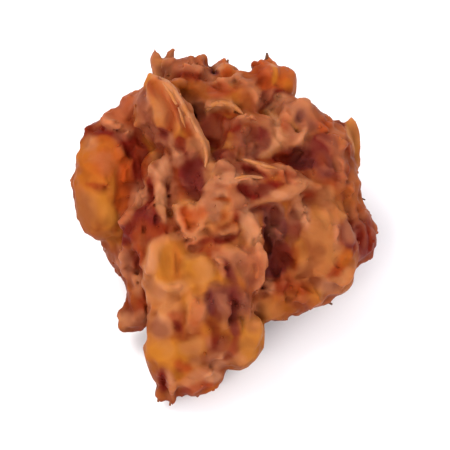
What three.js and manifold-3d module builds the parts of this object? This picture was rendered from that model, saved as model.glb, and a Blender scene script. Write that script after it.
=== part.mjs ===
// A vegetable pakora: battered vegetable slices and strips, fried together into one clump.
// Millimetres, +Z up. The clump lies on a small flat under its middle, its thick front lobe
// points towards -Y, and the origin is the middle of the lowest face of its bounding box.
import * as THREE from 'three';
import { mergeVertices } from 'three/addons/utils/BufferGeometryUtils.js';
import { ImprovedNoise } from 'three/addons/math/ImprovedNoise.js';
import Module from 'manifold-3d';

const wasm = await Module();
wasm.setup();

// ---- Driving dimensions ----

const FACE_SLOPE_DEG = 35; // the broad upper face leans forward this far from level
const FACE_ORIGIN = new THREE.Vector3(0, -8, 22); // the middle of the clump, under that face
const LUMP_ROUGHNESS = 0.26; // how far a lump's skin wanders, as a share of its radius
const LUMP_WAVES = 1.7; // waves of that roughness across a lump
const LUMP_SEED_STEP = 0.37; // how fast the roughness changes from one lump's place to the next
const FINE_LUMP = 10; // lumps with a half size over this have the finest facets
const SMALL_LUMP = 5.5; // and those under this the coarsest
const STRIP_SIDES = 6;
const STRIP_STEP = 4.5; // distance between the rings of a strip
const STRIP_ROUGHNESS = 0.4; // how far a strip's girth wanders, as a share of it
const JOIN_WITHIN = 0.85; // facets finer than this are merged where pieces run into each other
const GROUND_BLOCK = 200; // side of the block that keeps what is above the surface
const FLAT_WITHIN = 0.1; // the underside is pressed flat where it is this close to the surface

// ---- Making one piece ----

const noise = new ImprovedNoise();
const radians = THREE.MathUtils.degToRad;

// Pieces on the upper face are placed in its own frame: across, up the slope, and out of it.
const faceFrame = new THREE.Matrix4()
  .makeRotationX(radians(FACE_SLOPE_DEG))
  .setPosition(FACE_ORIGIN);
const levelFrame = new THREE.Matrix4();

function solidOf(geometry, frame) {
  geometry.deleteAttribute('normal');
  geometry.deleteAttribute('uv');
  geometry.applyMatrix4(frame);
  const merged = mergeVertices(geometry, 1e-4);
  return new wasm.Manifold(new wasm.Mesh({
    numProp: 3,
    tolerance: JOIN_WITHIN,
    vertProperties: merged.attributes.position.array,
    triVerts: new Uint32Array(merged.index.array),
  }));
}

function facetsFor(half) {
  const longest = Math.max(...half);
  if (longest > FINE_LUMP) return 3;
  return longest < SMALL_LUMP ? 1 : 2;
}

// A battered lump or slice: a ball stretched to its half sizes, roughened and turned.
// spin turns it in the face, and lean tips its upper end in.
function lump(at, half, { spin = 0, lean = 0, frame = faceFrame } = {}) {
  const ball = new THREE.IcosahedronGeometry(1, facetsFor(half));
  const place = ball.attributes.position;
  const p = new THREE.Vector3();
  for (let i = 0; i < place.count; i++) {
    p.fromBufferAttribute(place, i).normalize();
    const [x, y, z] = [...p].map((c, axis) => c * LUMP_WAVES + at[axis] * LUMP_SEED_STEP);
    p.multiplyScalar(1 + LUMP_ROUGHNESS * noise.noise(x, y, z));
    place.setXYZ(i, p.x * half[0], p.y * half[1], p.z * half[2]);
  }
  const turn = new THREE.Euler(radians(-lean), 0, radians(spin), 'ZXY');
  const matrix = new THREE.Matrix4().makeRotationFromEuler(turn).setPosition(...at);
  return solidOf(ball, matrix.premultiply(frame));
}

// A battered strip of onion or pepper: an oval section swept along a curve, with round ends.
function strip(points, wide, thick, frame = faceFrame) {
  const curve = new THREE.CatmullRomCurve3(points.map((q) => new THREE.Vector3(...q)));
  const steps = Math.max(4, Math.round(curve.getLength() / STRIP_STEP));
  const out = new THREE.Vector3(0, 0, 1);
  const vertices = [...curve.getPoint(0)];
  for (let i = 1; i < steps; i++) {
    const t = i / steps;
    const middle = curve.getPoint(t);
    const along = curve.getTangent(t);
    const side = new THREE.Vector3().crossVectors(along, out).normalize();
    const up = new THREE.Vector3().crossVectors(side, along);
    const swell = 1 + STRIP_ROUGHNESS * noise.noise(middle.x * 0.3, middle.y * 0.3, 7.3);
    const girth = swell * Math.sqrt(1 - Math.abs(2 * t - 1) ** 3);
    for (let j = 0; j < STRIP_SIDES; j++) {
      const angle = (2 * Math.PI * j) / STRIP_SIDES;
      const q = middle.clone()
        .addScaledVector(side, (Math.cos(angle) * girth * wide) / 2)
        .addScaledVector(up, (Math.sin(angle) * girth * thick) / 2);
      vertices.push(...q);
    }
  }
  vertices.push(...curve.getPoint(1));
  const ring = (i, j) => 1 + (i - 1) * STRIP_SIDES + (j % STRIP_SIDES);
  const end = 1 + (steps - 1) * STRIP_SIDES;
  const faces = [];
  for (let j = 0; j < STRIP_SIDES; j++) {
    faces.push(0, ring(1, j), ring(1, j + 1));
    faces.push(end, ring(steps - 1, j + 1), ring(steps - 1, j));
    for (let i = 1; i < steps - 1; i++) {
      faces.push(ring(i, j), ring(i + 1, j + 1), ring(i, j + 1));
      faces.push(ring(i, j), ring(i + 1, j), ring(i + 1, j + 1));
    }
  }
  const swept = new THREE.BufferGeometry();
  swept.setAttribute('position', new THREE.Float32BufferAttribute(vertices, 3));
  swept.setIndex(faces);
  return solidOf(swept, frame);
}

// ---- The mass of batter and chopped vegetable that everything clings to ----

const core = [
  lump([1, 1, 18], [22.5, 22, 17.5], { frame: levelFrame }),
  lump([1, -4, 8], [20, 22, 10], { frame: levelFrame }),
  lump([0, 14, 21], [21, 15, 14], { frame: levelFrame }),
  lump([-15, -9, 18], [9, 10, 11], { frame: levelFrame }),
  lump([-13, 9, 28], [8, 9, 8.5], { frame: levelFrame }),
  lump([2, -9, 7], [8, 9, 5.5]),
];

// ---- The left side: a thick round slice, with a red slice tucked in behind it ----

const leftSide = [
  lump([-27.2, 8.8, -3.8], [6.6, 12.6, 8], { spin: 2 }),
  lump([-27.4, 3.8, -3.2], [6, 7, 7]),
  lump([-33, 10.5, -5], [1.6, 2.4, 2.4]),
  lump([-24.4, 21, -4], [7.6, 4.4, 6], { spin: 38 }),
  lump([-21.2, 24, -4], [3.8, 3.8, 4.6]),
  strip([[-15.6, 12, 3.4], [-19.3, 7, 2.8], [-22.5, 0, 1.2]], 4, 6),
  lump([-19.6, 12, -3], [5, 9, 6]),
  lump([-18.8, -3, -2.4], [6, 8, 6.4]),
  lump([-18.4, -13, -4], [5, 9, 7], { spin: 5 }),
  lump([-20.4, -20, -4], [4.6, 4.6, 4.6]),
  lump([-25.6, -6, -5], [2.8, 2.2, 2.6]),
];

// ---- The tall cupped onion petal beside it, with a pale strip curling out of its hollow ----

const petal = [
  lump([-11.6, 22, 3.8], [6, 12.2, 6], { spin: 24 }),
  strip([[-15, 33, -1], [-10.6, 29.9, 2.4], [-6.9, 24.1, 5], [-4.6, 18, 5.6], [-4.2, 12, 6.4],
    [-5, 7, 6.6]], 3.4, 8),
  lump([-16.8, 25.2, 0.4], [4, 6.8, 6], { spin: 6 }),
  lump([-14, 8, 1.8], [4.8, 8.6, 5.8]),
  strip([[-16.2, 21, 3], [-13, 16, 4.6], [-12.6, 11, 5.4], [-13.4, 5.5, 5.6], [-14, -1, 3.6]], 4.8, 7),
];

// ---- The crown: slices standing up round the back edge of the face ----

const crown = [
  strip([[-15.8, 39.2, -8.4], [-15.2, 35, -8], [-13, 30, -6]], 3.8, 4.4),
  strip([[-15, 33.5, -7], [-9.8, 34.6, -7], [-5, 35.6, -8]], 6, 7),
  lump([-5.4, 35.6, -8], [3.2, 3.2, 3.6]),
  lump([-8, 30, -6], [8, 6.8, 7]),
  lump([-3, 27.3, -5], [6.5, 5, 7]),
  lump([-0.3, 34, -9], [3.6, 3.8, 4.4], { spin: 45 }),
  lump([3.6, 29.8, -8], [6.5, 5, 6]),
  lump([1, 27.5, -5], [8, 4.8, 7]),
  lump([11, 31.4, -9], [5.6, 5.4, 5.2]),
  strip([[9.8, 31, -9], [9.4, 35, -9.4], [9.2, 38, -9.6]], 3.8, 4),
  strip([[7.4, 29, -8], [6.4, 32, -8.6], [6.2, 35.6, -9]], 3.6, 4),
];

// ---- The right shoulder, with its spiked rim ----

const shoulder = [
  lump([17.4, 23, -6.6], [7.2, 4.8, 6.6], { spin: -34 }),
  strip([[9.8, 27.5, -3.4], [11.9, 23.6, -1.4], [12.8, 19.9, 0], [10.9, 16.7, 2.4], [7.5, 15, 4.6]],
    3.8, 7),
  strip([[29, 25, -12], [29, 17.7, -11], [28.9, 10.9, -10], [28.2, 4.5, -9]], 4.4, 8),
  lump([22.6, 15.4, -6], [7, 8.2, 8]),
  lump([21.5, 9, -4], [9, 6, 8]),
  lump([26.8, 4.6, -6.4], [4, 6, 6.4]),
  lump([29.4, -2.4, -8], [4.6, 7.2, 6.2], { spin: 5 }),
];

// ---- The middle of the face: short curls and ridges round small hollows ----

const middle = [
  strip([[-5, 24.8, 1], [-2.9, 26.8, 2], [0.3, 27, 1], [3.5, 24.7, 2], [4.8, 20.5, 3]], 2.6, 6),
  lump([5.4, 19.4, 0.8], [6.8, 5.6, 6]),
  strip([[3.5, 15, 5], [7.2, 13, 5.8], [11.4, 10.9, 5.4], [16, 9.8, 3.4]], 3.6, 6),
  lump([-1, 8, 6.6], [7, 7, 6]),
  lump([9, 8.4, 4], [7.4, 5.8, 6]),
  strip([[-5.6, 6, 8.4], [-3.8, 10.9, 9.6], [0.8, 12, 9.4], [5.4, 11.4, 7.8]], 4, 5.5),
  strip([[4, 3.4, 9.4], [9.3, 5.6, 8.6], [14, 7.7, 7.2], [18.8, 9.3, 2.6], [22.5, 7.2, 1]], 3.6, 7),
  strip([[14, 4.5, 5.4], [16.7, 1.3, 4.6], [18.8, -2.4, 5.4], [18.8, -8, 4.4]], 3.6, 6),
  lump([-7.2, 0.8, 7.6], [4.2, 3.7, 5], { spin: -30 }),
  lump([0, 1, 7.5], [7, 5, 6.5]),
];

// ---- The right lobe, folded upright ----

const rightLobe = [
  lump([18.5, -5, -1], [11.5, 13, 9.5]),
  strip([[22, 5, 0.6], [22.4, -3.4, 4.2], [19.6, -13, 1.6]], 5, 7),
  strip([[26, 4.5, -1], [26.4, -4.5, 2], [23.6, -14, 0]], 5, 8),
  lump([25.2, -11.6, -5], [5, 4.4, 5]),
  lump([12.6, -18.4, -1], [3.6, 3.4, 4.6]),
  lump([16.5, -13.8, -3], [9.5, 5, 8]),
  strip([[19.5, -15, -3], [22, -16.6, -3.2], [24.6, -18.6, -3.6]], 2.4, 3),
];

// ---- The front lobe: a rolled pocket on its left, a ridge down its right, spikes at its foot ----

const frontLobe = [
  lump([-4.5, -17.3, 3.6], [12, 18.2, 10.8], { spin: -17 }),
  strip([[-7.7, -2.4, 9.6], [-12.5, -3.4, 9.8], [-15.4, -8.2, 8.4], [-15.8, -14.6, 6.8],
    [-15.6, -21, 5.6], [-15.4, -27.5, 4]], 4.4, 8),
  strip([[-15.8, -14.6, 9.4], [-11.4, -13.5, 10.6], [-7.7, -10.9, 11.2], [-3.4, -7.7, 11]], 5.4, 7),
  lump([-10.8, -9.4, 6.8], [5.2, 7, 6.2]),
  lump([-5.8, -10, 9.6], [4.4, 3.6, 4.2]),
  lump([-10.4, -19.9, 7.6], [6, 5.6, 6.2]),
  lump([-10.8, -29.4, 5], [7.2, 6.4, 7]),
  lump([-5.6, -31.2, 4], [7.6, 6, 6.8]),
  lump([3.4, -24.4, 5], [5.6, 6.4, 7]),
  strip([[-13.8, -32, 5], [-14.6, -36, 5], [-15, -39.2, 5]], 3.4, 3.6),
  strip([[-11, -32, 6], [-11.4, -36, 6], [-11.6, -39.4, 6]], 3.4, 3.6),
  strip([[4, 1.3, 9], [6.4, -3.4, 9.4], [7, -9.8, 8.4], [6.2, -15.6, 5.4], [6.2, -21, 4],
    [5.4, -26, 2]], 6, 8),
  strip([[-2.4, -2, 8], [-2, -9, 11.5], [-1.8, -17, 11], [-2.6, -25, 7]], 6, 7),
  strip([[3, -3, 8], [4.2, -10, 10.5], [4.4, -18, 9], [3.6, -25, 5]], 5, 7),
  strip([[-3.6, -1, 10.8], [-0.3, 0.8, 11.8], [3.5, 2.4, 11.2]], 3, 6),
];

// ---- The back and the sides: two rings of lumps, and onion strips lying across them ----

const BACK_FROM_DEG = -20;
const BACK_TO_DEG = 196;
const BACK_LEVELS = [ // each lump strays from its ring by its own share, up and out
  { height: 10.5, out: 22, half: [9.5, 6.5, 8], strays: [0.2, -0.3, 0.1, -0.2, 0.3, -0.1, 0.2] },
  { height: 22, out: 19.5, half: [9.5, 7.5, 8], strays: [-0.2, 0.3, -0.1, 0.2, -0.3, 0.1] },
];
const STRAY_OUT = 4;
const STRAY_UP = 8;
const STRAY_LEAN_DEG = 50;

const BACK_STRIPS = [
  { fromDeg: 5, toDeg: 62, fromHeight: 11, toHeight: 23, reach: 27.5 },
  { fromDeg: 55, toDeg: 118, fromHeight: 29, toHeight: 19, reach: 28 },
  { fromDeg: 82, toDeg: 150, fromHeight: 10, toHeight: 20, reach: 29.5 },
  { fromDeg: 128, toDeg: 186, fromHeight: 28, toHeight: 14, reach: 28.5 },
];
const BACK_STRIP_WIDTH = 5;
const BACK_STRIP_HEIGHT = 6.5;

const roundBack = (angleDeg, reach, height) => [
  1 + reach * Math.cos(radians(angleDeg)),
  reach * Math.sin(radians(angleDeg)),
  height,
];

const backLumps = BACK_LEVELS.flatMap(({ height, out, half, strays }, level) =>
  strays.map((stray, i) => {
    const share = (i + 0.5 * level) / (strays.length - 1);
    const angle = BACK_FROM_DEG + (BACK_TO_DEG - BACK_FROM_DEG) * share;
    const at = roundBack(angle, out + STRAY_OUT * stray, height + STRAY_UP * stray);
    return lump(at, half, { spin: angle - 90, lean: STRAY_LEAN_DEG * stray, frame: levelFrame });
  }));

const backStrips = BACK_STRIPS.map(({ fromDeg, toDeg, fromHeight, toHeight, reach }) => {
  const points = [0, 0.25, 0.5, 0.75, 1].map((share) => roundBack(
    THREE.MathUtils.lerp(fromDeg, toDeg, share),
    reach - 3 * (2 * share - 1) ** 2,
    THREE.MathUtils.lerp(fromHeight, toHeight, share) + 3 * Math.sin(2 * Math.PI * share),
  ));
  return strip(points, BACK_STRIP_WIDTH, BACK_STRIP_HEIGHT, levelFrame);
});

// ---- The hollows between the pieces ----

const hollows = [
  lump([-7.9, 11, 12], [2.8, 7, 6]),
  lump([-17.8, 15.5, 8], [2.4, 5, 4], { spin: 20 }),
  lump([-17.2, 4, 10], [2, 4, 4.5]),
  lump([-1.4, 22, 7.6], [3.8, 3.4, 5.4]),
  lump([16.6, 14.4, 4.4], [5, 2.8, 5.4], { spin: -5 }),
  lump([6.1, 7.8, 13], [4.4, 2.1, 5]),
  lump([18.4, 5.4, 9], [2.4, 2.3, 5]),
  lump([11.4, -1, 12.2], [3, 5.2, 6.4]),
  lump([11.6, -11, 9.4], [2.2, 9.6, 8], { spin: -3 }),
  lump([-12.2, -8.4, 15.6], [2.2, 4.4, 4.4], { spin: -8 }),
  lump([1.4, -18.5, 17], [1.4, 6.5, 5]),
  lump([0.9, -2.2, 19], [4, 1.5, 5], { spin: 22 }),
];

// ---- One solid, cut flat where it lies ----

// Pockets sealed between the pieces are full of batter, so only the outermost shell is kept.
// Facets belong to one shell where they share an edge.
function outermostShell({ vertProperties, triVerts }) {
  const facetCount = triVerts.length / 3;
  const linked = Array.from({ length: facetCount }, (_, facet) => facet);
  const shellOf = (facet) => {
    while (linked[facet] !== facet) {
      linked[facet] = linked[linked[facet]];
      facet = linked[facet];
    }
    return facet;
  };
  const facetWithEdge = new Map();
  for (let facet = 0; facet < facetCount; facet++) {
    for (let side = 0; side < 3; side++) {
      const from = triVerts[3 * facet + side];
      const to = triVerts[3 * facet + ((side + 1) % 3)];
      facetWithEdge.set(`${from},${to}`, facet);
      const neighbour = facetWithEdge.get(`${to},${from}`);
      if (neighbour !== undefined) linked[shellOf(neighbour)] = shellOf(facet);
    }
  }
  const sizes = new Map();
  for (let facet = 0; facet < facetCount; facet++) {
    sizes.set(shellOf(facet), (sizes.get(shellOf(facet)) ?? 0) + 1);
  }
  const [[outermost]] = [...sizes].sort((a, b) => b[1] - a[1]);
  const kept = triVerts.filter((_, corner) => shellOf(Math.floor(corner / 3)) === outermost);
  const newNames = new Map([...new Set(kept)].map((vertex, i) => [vertex, i]));
  const vertices = [...newNames.keys()].flatMap((vertex) => {
    const [x, y, z] = vertProperties.subarray(3 * vertex, 3 * vertex + 3);
    return [x, y, z < FLAT_WITHIN ? 0 : z];
  });
  return { vertices, faces: [...kept].map((vertex) => newNames.get(vertex)) };
}

const pieces = [core, leftSide, petal, crown, shoulder, middle, rightLobe, frontLobe, backLumps,
  backStrips].flat();
const clump = hollows.reduce(
  (whole, hollow) => whole.subtract(hollow),
  pieces.reduce((whole, piece) => whole.add(piece)),
);
const block = new THREE.BoxGeometry(GROUND_BLOCK, GROUND_BLOCK, GROUND_BLOCK);
const aboveGround = solidOf(block, new THREE.Matrix4().makeTranslation(0, 0, GROUND_BLOCK / 2));
const { vertices, faces } = outermostShell(clump.intersect(aboveGround).getMesh());

const geometry = new THREE.BufferGeometry();
geometry.setAttribute('position', new THREE.Float32BufferAttribute(vertices, 3));
geometry.setIndex(faces);
geometry.computeBoundingBox();
const centre = geometry.boundingBox.getCenter(new THREE.Vector3());
geometry.translate(-centre.x, -centre.y, 0);

const friedBatter = new THREE.MeshStandardMaterial({
  color: 0xb0622c,
  roughness: 0.55,
  metalness: 0,
});
const pakora = new THREE.Mesh(geometry, friedBatter);
pakora.name = 'pakora';

const group = new THREE.Group();
group.add(pakora);
export default group;
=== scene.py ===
import math

import bpy
import numpy as np
import openvdb
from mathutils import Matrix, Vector


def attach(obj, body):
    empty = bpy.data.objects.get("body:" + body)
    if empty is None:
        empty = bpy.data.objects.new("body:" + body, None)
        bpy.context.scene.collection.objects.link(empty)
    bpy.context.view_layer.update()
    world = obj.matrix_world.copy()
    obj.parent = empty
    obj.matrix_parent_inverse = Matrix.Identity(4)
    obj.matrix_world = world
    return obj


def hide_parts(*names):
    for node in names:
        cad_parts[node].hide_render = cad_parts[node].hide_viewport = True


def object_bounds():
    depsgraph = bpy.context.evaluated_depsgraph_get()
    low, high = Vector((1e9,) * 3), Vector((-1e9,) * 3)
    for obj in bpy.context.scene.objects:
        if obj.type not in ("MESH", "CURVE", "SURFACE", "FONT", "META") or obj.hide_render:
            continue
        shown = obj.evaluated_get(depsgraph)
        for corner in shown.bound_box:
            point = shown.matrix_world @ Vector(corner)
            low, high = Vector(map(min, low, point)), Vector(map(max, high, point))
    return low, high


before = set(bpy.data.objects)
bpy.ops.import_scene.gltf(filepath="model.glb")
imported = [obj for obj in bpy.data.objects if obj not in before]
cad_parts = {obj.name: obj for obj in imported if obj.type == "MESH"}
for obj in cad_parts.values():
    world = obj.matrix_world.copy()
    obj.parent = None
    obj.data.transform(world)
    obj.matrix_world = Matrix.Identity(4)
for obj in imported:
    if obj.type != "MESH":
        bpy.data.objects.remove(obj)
cad_low, cad_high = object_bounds()

# ---- The batter ----
# Gram flour and water, which holds every slice and fries into the skin of the clump. It is a
# block of small cells, each knowing how far it is from the skin, in millimetres: below 0 is
# food. Slices are pressed into it, and it takes their colours.

MM = 0.001
CELL = 0.42
BLOCK_MARGIN = 3.5
FAR = 9.0  # distance kept where nothing is near
FACE_SLOPE = math.radians(35)  # the broad upper face leans forward this far from level
FACE_ORIGIN = np.array([0.2, -1.5, 22.0])  # the middle of the clump, under that face
TINTS = ("ochre", "carrot", "chilli", "onion", "pale")
TINT_EDGE = 0.9  # a slice's colour fades into its neighbour's over this distance
ROOM = 3.0  # a piece can still join the batter this far from its own skin

block_low = np.array(cad_low) / MM - BLOCK_MARGIN
block_cells = np.ceil((np.array(cad_high) / MM + BLOCK_MARGIN - block_low) / CELL).astype(int)
skin = np.full(block_cells, FAR, np.float32)
tints = {name: np.zeros(block_cells, np.float32) for name in TINTS}
LATTICE_GAIN = 3.0  # smoothing leaves about a third of the lattice's spread


def wander(step, seed):
    """A smooth random field over the block, of spread 1, that changes every `step` mm or so."""
    weights = []
    for count in block_cells:
        knots = np.arange(count) * CELL / step
        first = np.floor(knots).astype(int)
        f = knots - first
        row = np.arange(count)
        weight = np.zeros((count, first[-1] + 4))
        weight[row, first] = (1 - f) ** 3 / 6
        weight[row, first + 1] = (3 * f**3 - 6 * f**2 + 4) / 6
        weight[row, first + 2] = (-3 * f**3 + 3 * f**2 + 3 * f + 1) / 6
        weight[row, first + 3] = f**3 / 6
        weights.append(weight)
    lattice = np.random.default_rng(seed).standard_normal([w.shape[1] for w in weights])
    spread = (weights[0] @ lattice.reshape(lattice.shape[0], -1)).reshape(
        -1, *lattice.shape[1:])
    spread = np.matmul(weights[1], spread) @ weights[2].T
    return (LATTICE_GAIN * spread).astype(np.float32)


# No slice keeps its clean shape in hot oil, so all are laid in a gently crumpled space.
CRUMPLES = ((7.0, 0.25), (2.8, 0.20))  # step and size of each crumple
place = []
for axis in range(3):
    line = (block_low[axis] + CELL * np.arange(block_cells[axis])).astype(np.float32)
    shape = [1, 1, 1]
    shape[axis] = -1
    crumpled = sum(size * wander(step, 10 * axis + i) for i, (step, size) in enumerate(CRUMPLES))
    place.append(line.reshape(shape) + crumpled)

level_axes = np.eye(3)
face_axes = np.array([
    [1, 0, 0],
    [0, math.cos(FACE_SLOPE), math.sin(FACE_SLOPE)],
    [0, -math.sin(FACE_SLOPE), math.cos(FACE_SLOPE)],
])
LEVEL = (np.zeros(3), level_axes)
FACE = (FACE_ORIGIN, face_axes)  # across, up the slope, and out of it


def window(low, high, room):
    """The part of the block between two corners, with some room round it."""
    first = np.floor((low - room - block_low) / CELL).astype(int)
    last = np.ceil((high + room - block_low) / CELL).astype(int) + 1
    return tuple(slice(max(a, 0), max(b, 0)) for a, b in zip(first, last))


def seen_from(at, axes, box):
    """The points of a window as distances from `at` along three axes."""
    offsets = [place[i][box] - at[i] for i in range(3)]
    return [sum(axis[i] * offsets[i] for i in range(3)) for axis in axes]


def tinge(box, share, tint):
    """Moves a share of the way from the batter's colours in a window to the tint's."""
    for name, field in tints.items():
        field[box] += share * (tint.get(name, 0.0) - field[box])


def press(distance, box, join, tint):
    """Adds a slice to the batter, which fills the joint between them over `join` mm."""
    old = skin[box]
    share = np.clip(0.5 + 0.5 * (old - distance) / join, 0, 1)
    skin[box] = old * (1 - share) + distance * share - join * share * (1 - share)
    tinge(box, np.clip(0.5 + 0.5 * (old - distance) / TINT_EDGE, 0, 1), tint)


def turned(axes, spin, lean):
    """Axes turned by `spin` degrees in their own face, with the upper end tipped in by `lean`."""
    s, n = math.radians(spin), math.radians(lean)
    turn = np.array([
        [math.cos(s), math.sin(s), 0],
        [-math.sin(s) * math.cos(n), math.cos(s) * math.cos(n), -math.sin(n)],
        [-math.sin(s) * math.sin(n), math.cos(s) * math.sin(n), math.cos(n)],
    ])
    return turn @ axes


def egg(at, half, axes, box):
    """How far the points of a window are outside an egg, by its middle and half sizes."""
    offsets = seen_from(at, axes, box)
    scaled = np.sqrt(sum((offset / size) ** 2 for offset, size in zip(offsets, half)))
    steep = np.sqrt(sum((offset / size**2) ** 2 for offset, size in zip(offsets, half)))
    return scaled * (scaled - 1) / np.maximum(steep, 1e-4)


LUMP_JOIN = 1.7


def lump(at, half, spin=0, lean=0, frame_of=FACE, join=LUMP_JOIN, **tint):
    """A battered lump or thick slice, by its middle and half sizes."""
    origin, axes = frame_of
    middle = origin + np.array(at) @ axes
    box = window(middle - max(half), middle + max(half), ROOM + 1)
    press(egg(middle, half, turned(axes, spin, lean), box), box, join, tint)


STRIP_JOIN = 0.9
STRIP_STEP = 1.6  # between the points that a strip is swept through
STRIP_CORNER = 0.34  # the radius of its rounded edges, as a share of its thinner side
LEAST_GIRTH = 0.04  # the square of how full a strip still is at its very ends


def smooth_path(points):
    """Points every STRIP_STEP or so along the smooth curve through the given ones."""
    knots = np.array([2 * points[0] - points[1], *points, 2 * points[-1] - points[-2]])
    path = []
    for i in range(len(points) - 1):
        p0, p1, p2, p3 = knots[i:i + 4]
        steps = max(2, round(float(np.linalg.norm(p2 - p1)) / STRIP_STEP))
        for t in np.arange(steps) / steps:
            path.append(0.5 * (2 * p1 + (p2 - p0) * t + (2 * p0 - 5 * p1 + 4 * p2 - p3) * t**2
                               + (3 * p1 - p0 - 3 * p2 + p3) * t**3))
    return np.array([*path, points[-1]])


def unit(vectors):
    return vectors / np.linalg.norm(vectors, axis=-1, keepdims=True)


def running(path, upward):
    """Which way is along a path, to its side and out of it, at each point."""
    along = unit(np.gradient(path, axis=0))
    side = unit(np.cross(along, upward))
    return along, side, np.cross(side, along)


def swept(points, wide, thick, tip, blunt, frame_of):
    """A flat strip along a curve, its right edge tipped out `tip` degrees: window and distance."""
    origin, axes = frame_of
    path = smooth_path(origin + np.array(points, float) @ axes)
    along, side, out = running(path, axes[2])
    lean = math.radians(tip)
    side, out = (side * math.cos(lean) + out * math.sin(lean),
                 out * math.cos(lean) - side * math.sin(lean))
    share = np.linspace(-1, 1, len(path))
    girth = np.sqrt(np.maximum(1 - np.abs(share) ** blunt, LEAST_GIRTH))
    room = max(wide, thick) / 2 + ROOM
    box = window(path.min(0), path.max(0), room + 0.5)
    nearest = np.full(skin[box].shape, FAR, np.float32)
    corner = np.array([part.start for part in box])
    for i in range(len(path) - 1):
        a, b = path[i], path[i + 1]
        part = window(np.minimum(a, b), np.maximum(a, b), room)
        offsets = [place[k][part] - a[k] for k in range(3)]
        run = b - a
        t = np.clip(sum(offsets[k] * run[k] for k in range(3)) / (run @ run), 0, 1)
        rest = [offsets[k] - t * run[k] for k in range(3)]
        s = sum(rest[k] * (side[i][k] + t * (side[i + 1][k] - side[i][k])) for k in range(3))
        o = sum(rest[k] * (out[i][k] + t * (out[i + 1][k] - out[i][k])) for k in range(3))
        e = sum(rest[k] * along[i][k] for k in range(3))
        size = girth[i] + t * (girth[i + 1] - girth[i])
        soft = STRIP_CORNER * min(wide, thick)
        over_s = np.abs(s) - size * (wide / 2) + soft
        over_o = np.abs(o) - size * (thick / 2) + soft
        outside = np.sqrt(np.maximum(over_s, 0) ** 2 + np.maximum(over_o, 0) ** 2 + e**2)
        distance = outside + np.minimum(np.maximum(over_s, over_o), 0) - soft
        inner = tuple(slice(p.start - c, p.stop - c) for p, c in zip(part, corner))
        nearest[inner] = np.minimum(nearest[inner], distance)
    return box, nearest


def strip(points, wide, thick, tip=0.0, blunt=4, join=STRIP_JOIN, frame_of=FACE, **tint):
    """A battered strip of onion or pepper, swept along a curve."""
    box, distance = swept(points, wide, thick, tip, blunt, frame_of)
    press(distance, box, join, tint)


def hollow(distance, box, join, tint):
    """Cuts a shape out of the batter, its lip rounded over `join` mm, and colours the cut."""
    share = np.clip(0.5 - 0.5 * (distance + skin[box]) / join, 0, 1)
    skin[box] = skin[box] * (1 - share) - distance * share + join * share * (1 - share)
    tinge(box, np.clip(1.2 - distance / TINT_EDGE, 0, 1), tint)


def depth_at(cells):
    """How far outside the skin some cells are."""
    i, j, k = np.clip(np.round(cells).astype(int), 0, block_cells - 1).T
    return skin[i, j, k]


def slope_at(cells):
    """Which way is out of the skin at some cells."""
    cells = np.clip(np.round(cells).astype(int), 1, block_cells - 2)
    out = np.stack([skin[tuple((cells + step).T)] - skin[tuple((cells - step).T)]
                    for step in np.eye(3, dtype=int)], axis=1)
    return out / np.maximum(np.linalg.norm(out, axis=1)[:, None], 1e-6)


PROBE_FROM, PROBE_TO, PROBE_STEP = 26.0, -40.0, 0.4  # the skin is looked for along this line
EDGE_STEP = 0.6  # how far a place beyond the edge moves in, until there is skin under it


def skin_over(across, up):
    """How far out of the face the skin is over a place on it, or just inside its edge."""
    reach = np.arange(PROBE_FROM, PROBE_TO, -PROBE_STEP)
    at, met = np.array([across, up], float), 0
    while met == 0:
        spots = FACE_ORIGIN + at @ face_axes[:2] + reach[:, None] * face_axes[2]
        depth = depth_at((spots - block_low) / CELL)
        met = int((depth < 0).argmax())
        at -= EDGE_STEP * unit(at)
    return reach[met] + PROBE_STEP * depth[met] / (depth[met] - depth[met - 1])


def lay(points, wide, rise, thick=3.0, blunt=2.4, **rest):
    """A strip laid along the face, on whatever is there, standing `rise` mm proud of it."""
    path = [[*at, skin_over(*at) + rise - thick / 2] for at in points]
    strip(path, wide, thick, blunt=blunt, **rest)


CUT_CLEAR = 1.0  # how much taller than the cut its cutting shape is, to clear the face


def groove(points, wide, deep, join=0.7, **tint):
    """A fold `deep` mm into the face, along a curve."""
    thick = 2 * deep + CUT_CLEAR
    path = [[*at, skin_over(*at) - deep + thick / 2] for at in points]
    box, distance = swept(path, wide, thick, 0.0, 2, FACE)
    hollow(distance, box, join, tint)


def dent(at, half, deep, spin=0, join=1.0, **tint):
    """A dent `deep` mm into the face, coloured to just past its lip."""
    thick = 1.5 * deep + 0.8 * CUT_CLEAR
    spot = FACE_ORIGIN + np.array([*at, skin_over(*at)]) @ face_axes
    out = unit(slope_at(((spot - block_low) / CELL)[None])[0] + 0.5 * face_axes[2])
    side = unit(np.cross(face_axes[1], out))
    lying = turned(np.array([side, np.cross(out, side), out]), spin, 0)
    middle = spot + out * (thick - deep)
    box = window(middle - max(*half, thick), middle + max(*half, thick), ROOM)
    hollow(egg(middle, [*half, thick], lying, box), box, join, tint)


STAIN_DEEP, STREAK_DEEP = 9.0, 2.5  # how far under the skin these colours still reach


def stain(at, half, spin=0, share=1.0, edge=1.6, **tint):
    """A patch of colour on the face, as where the batter ran thin over a slice."""
    middle = FACE_ORIGIN + np.array([*at, skin_over(*at)]) @ face_axes
    box = window(middle - max(*half, STAIN_DEEP), middle + max(*half, STAIN_DEEP), 0)
    offsets = seen_from(middle, turned(face_axes, spin, 0), box)
    reach = np.sqrt(sum((offset / size) ** 2 for offset, size in zip(offsets, (*half, STAIN_DEEP))))
    tinge(box, share * np.clip(edge * (1 - reach), 0, 1), tint)


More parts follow.
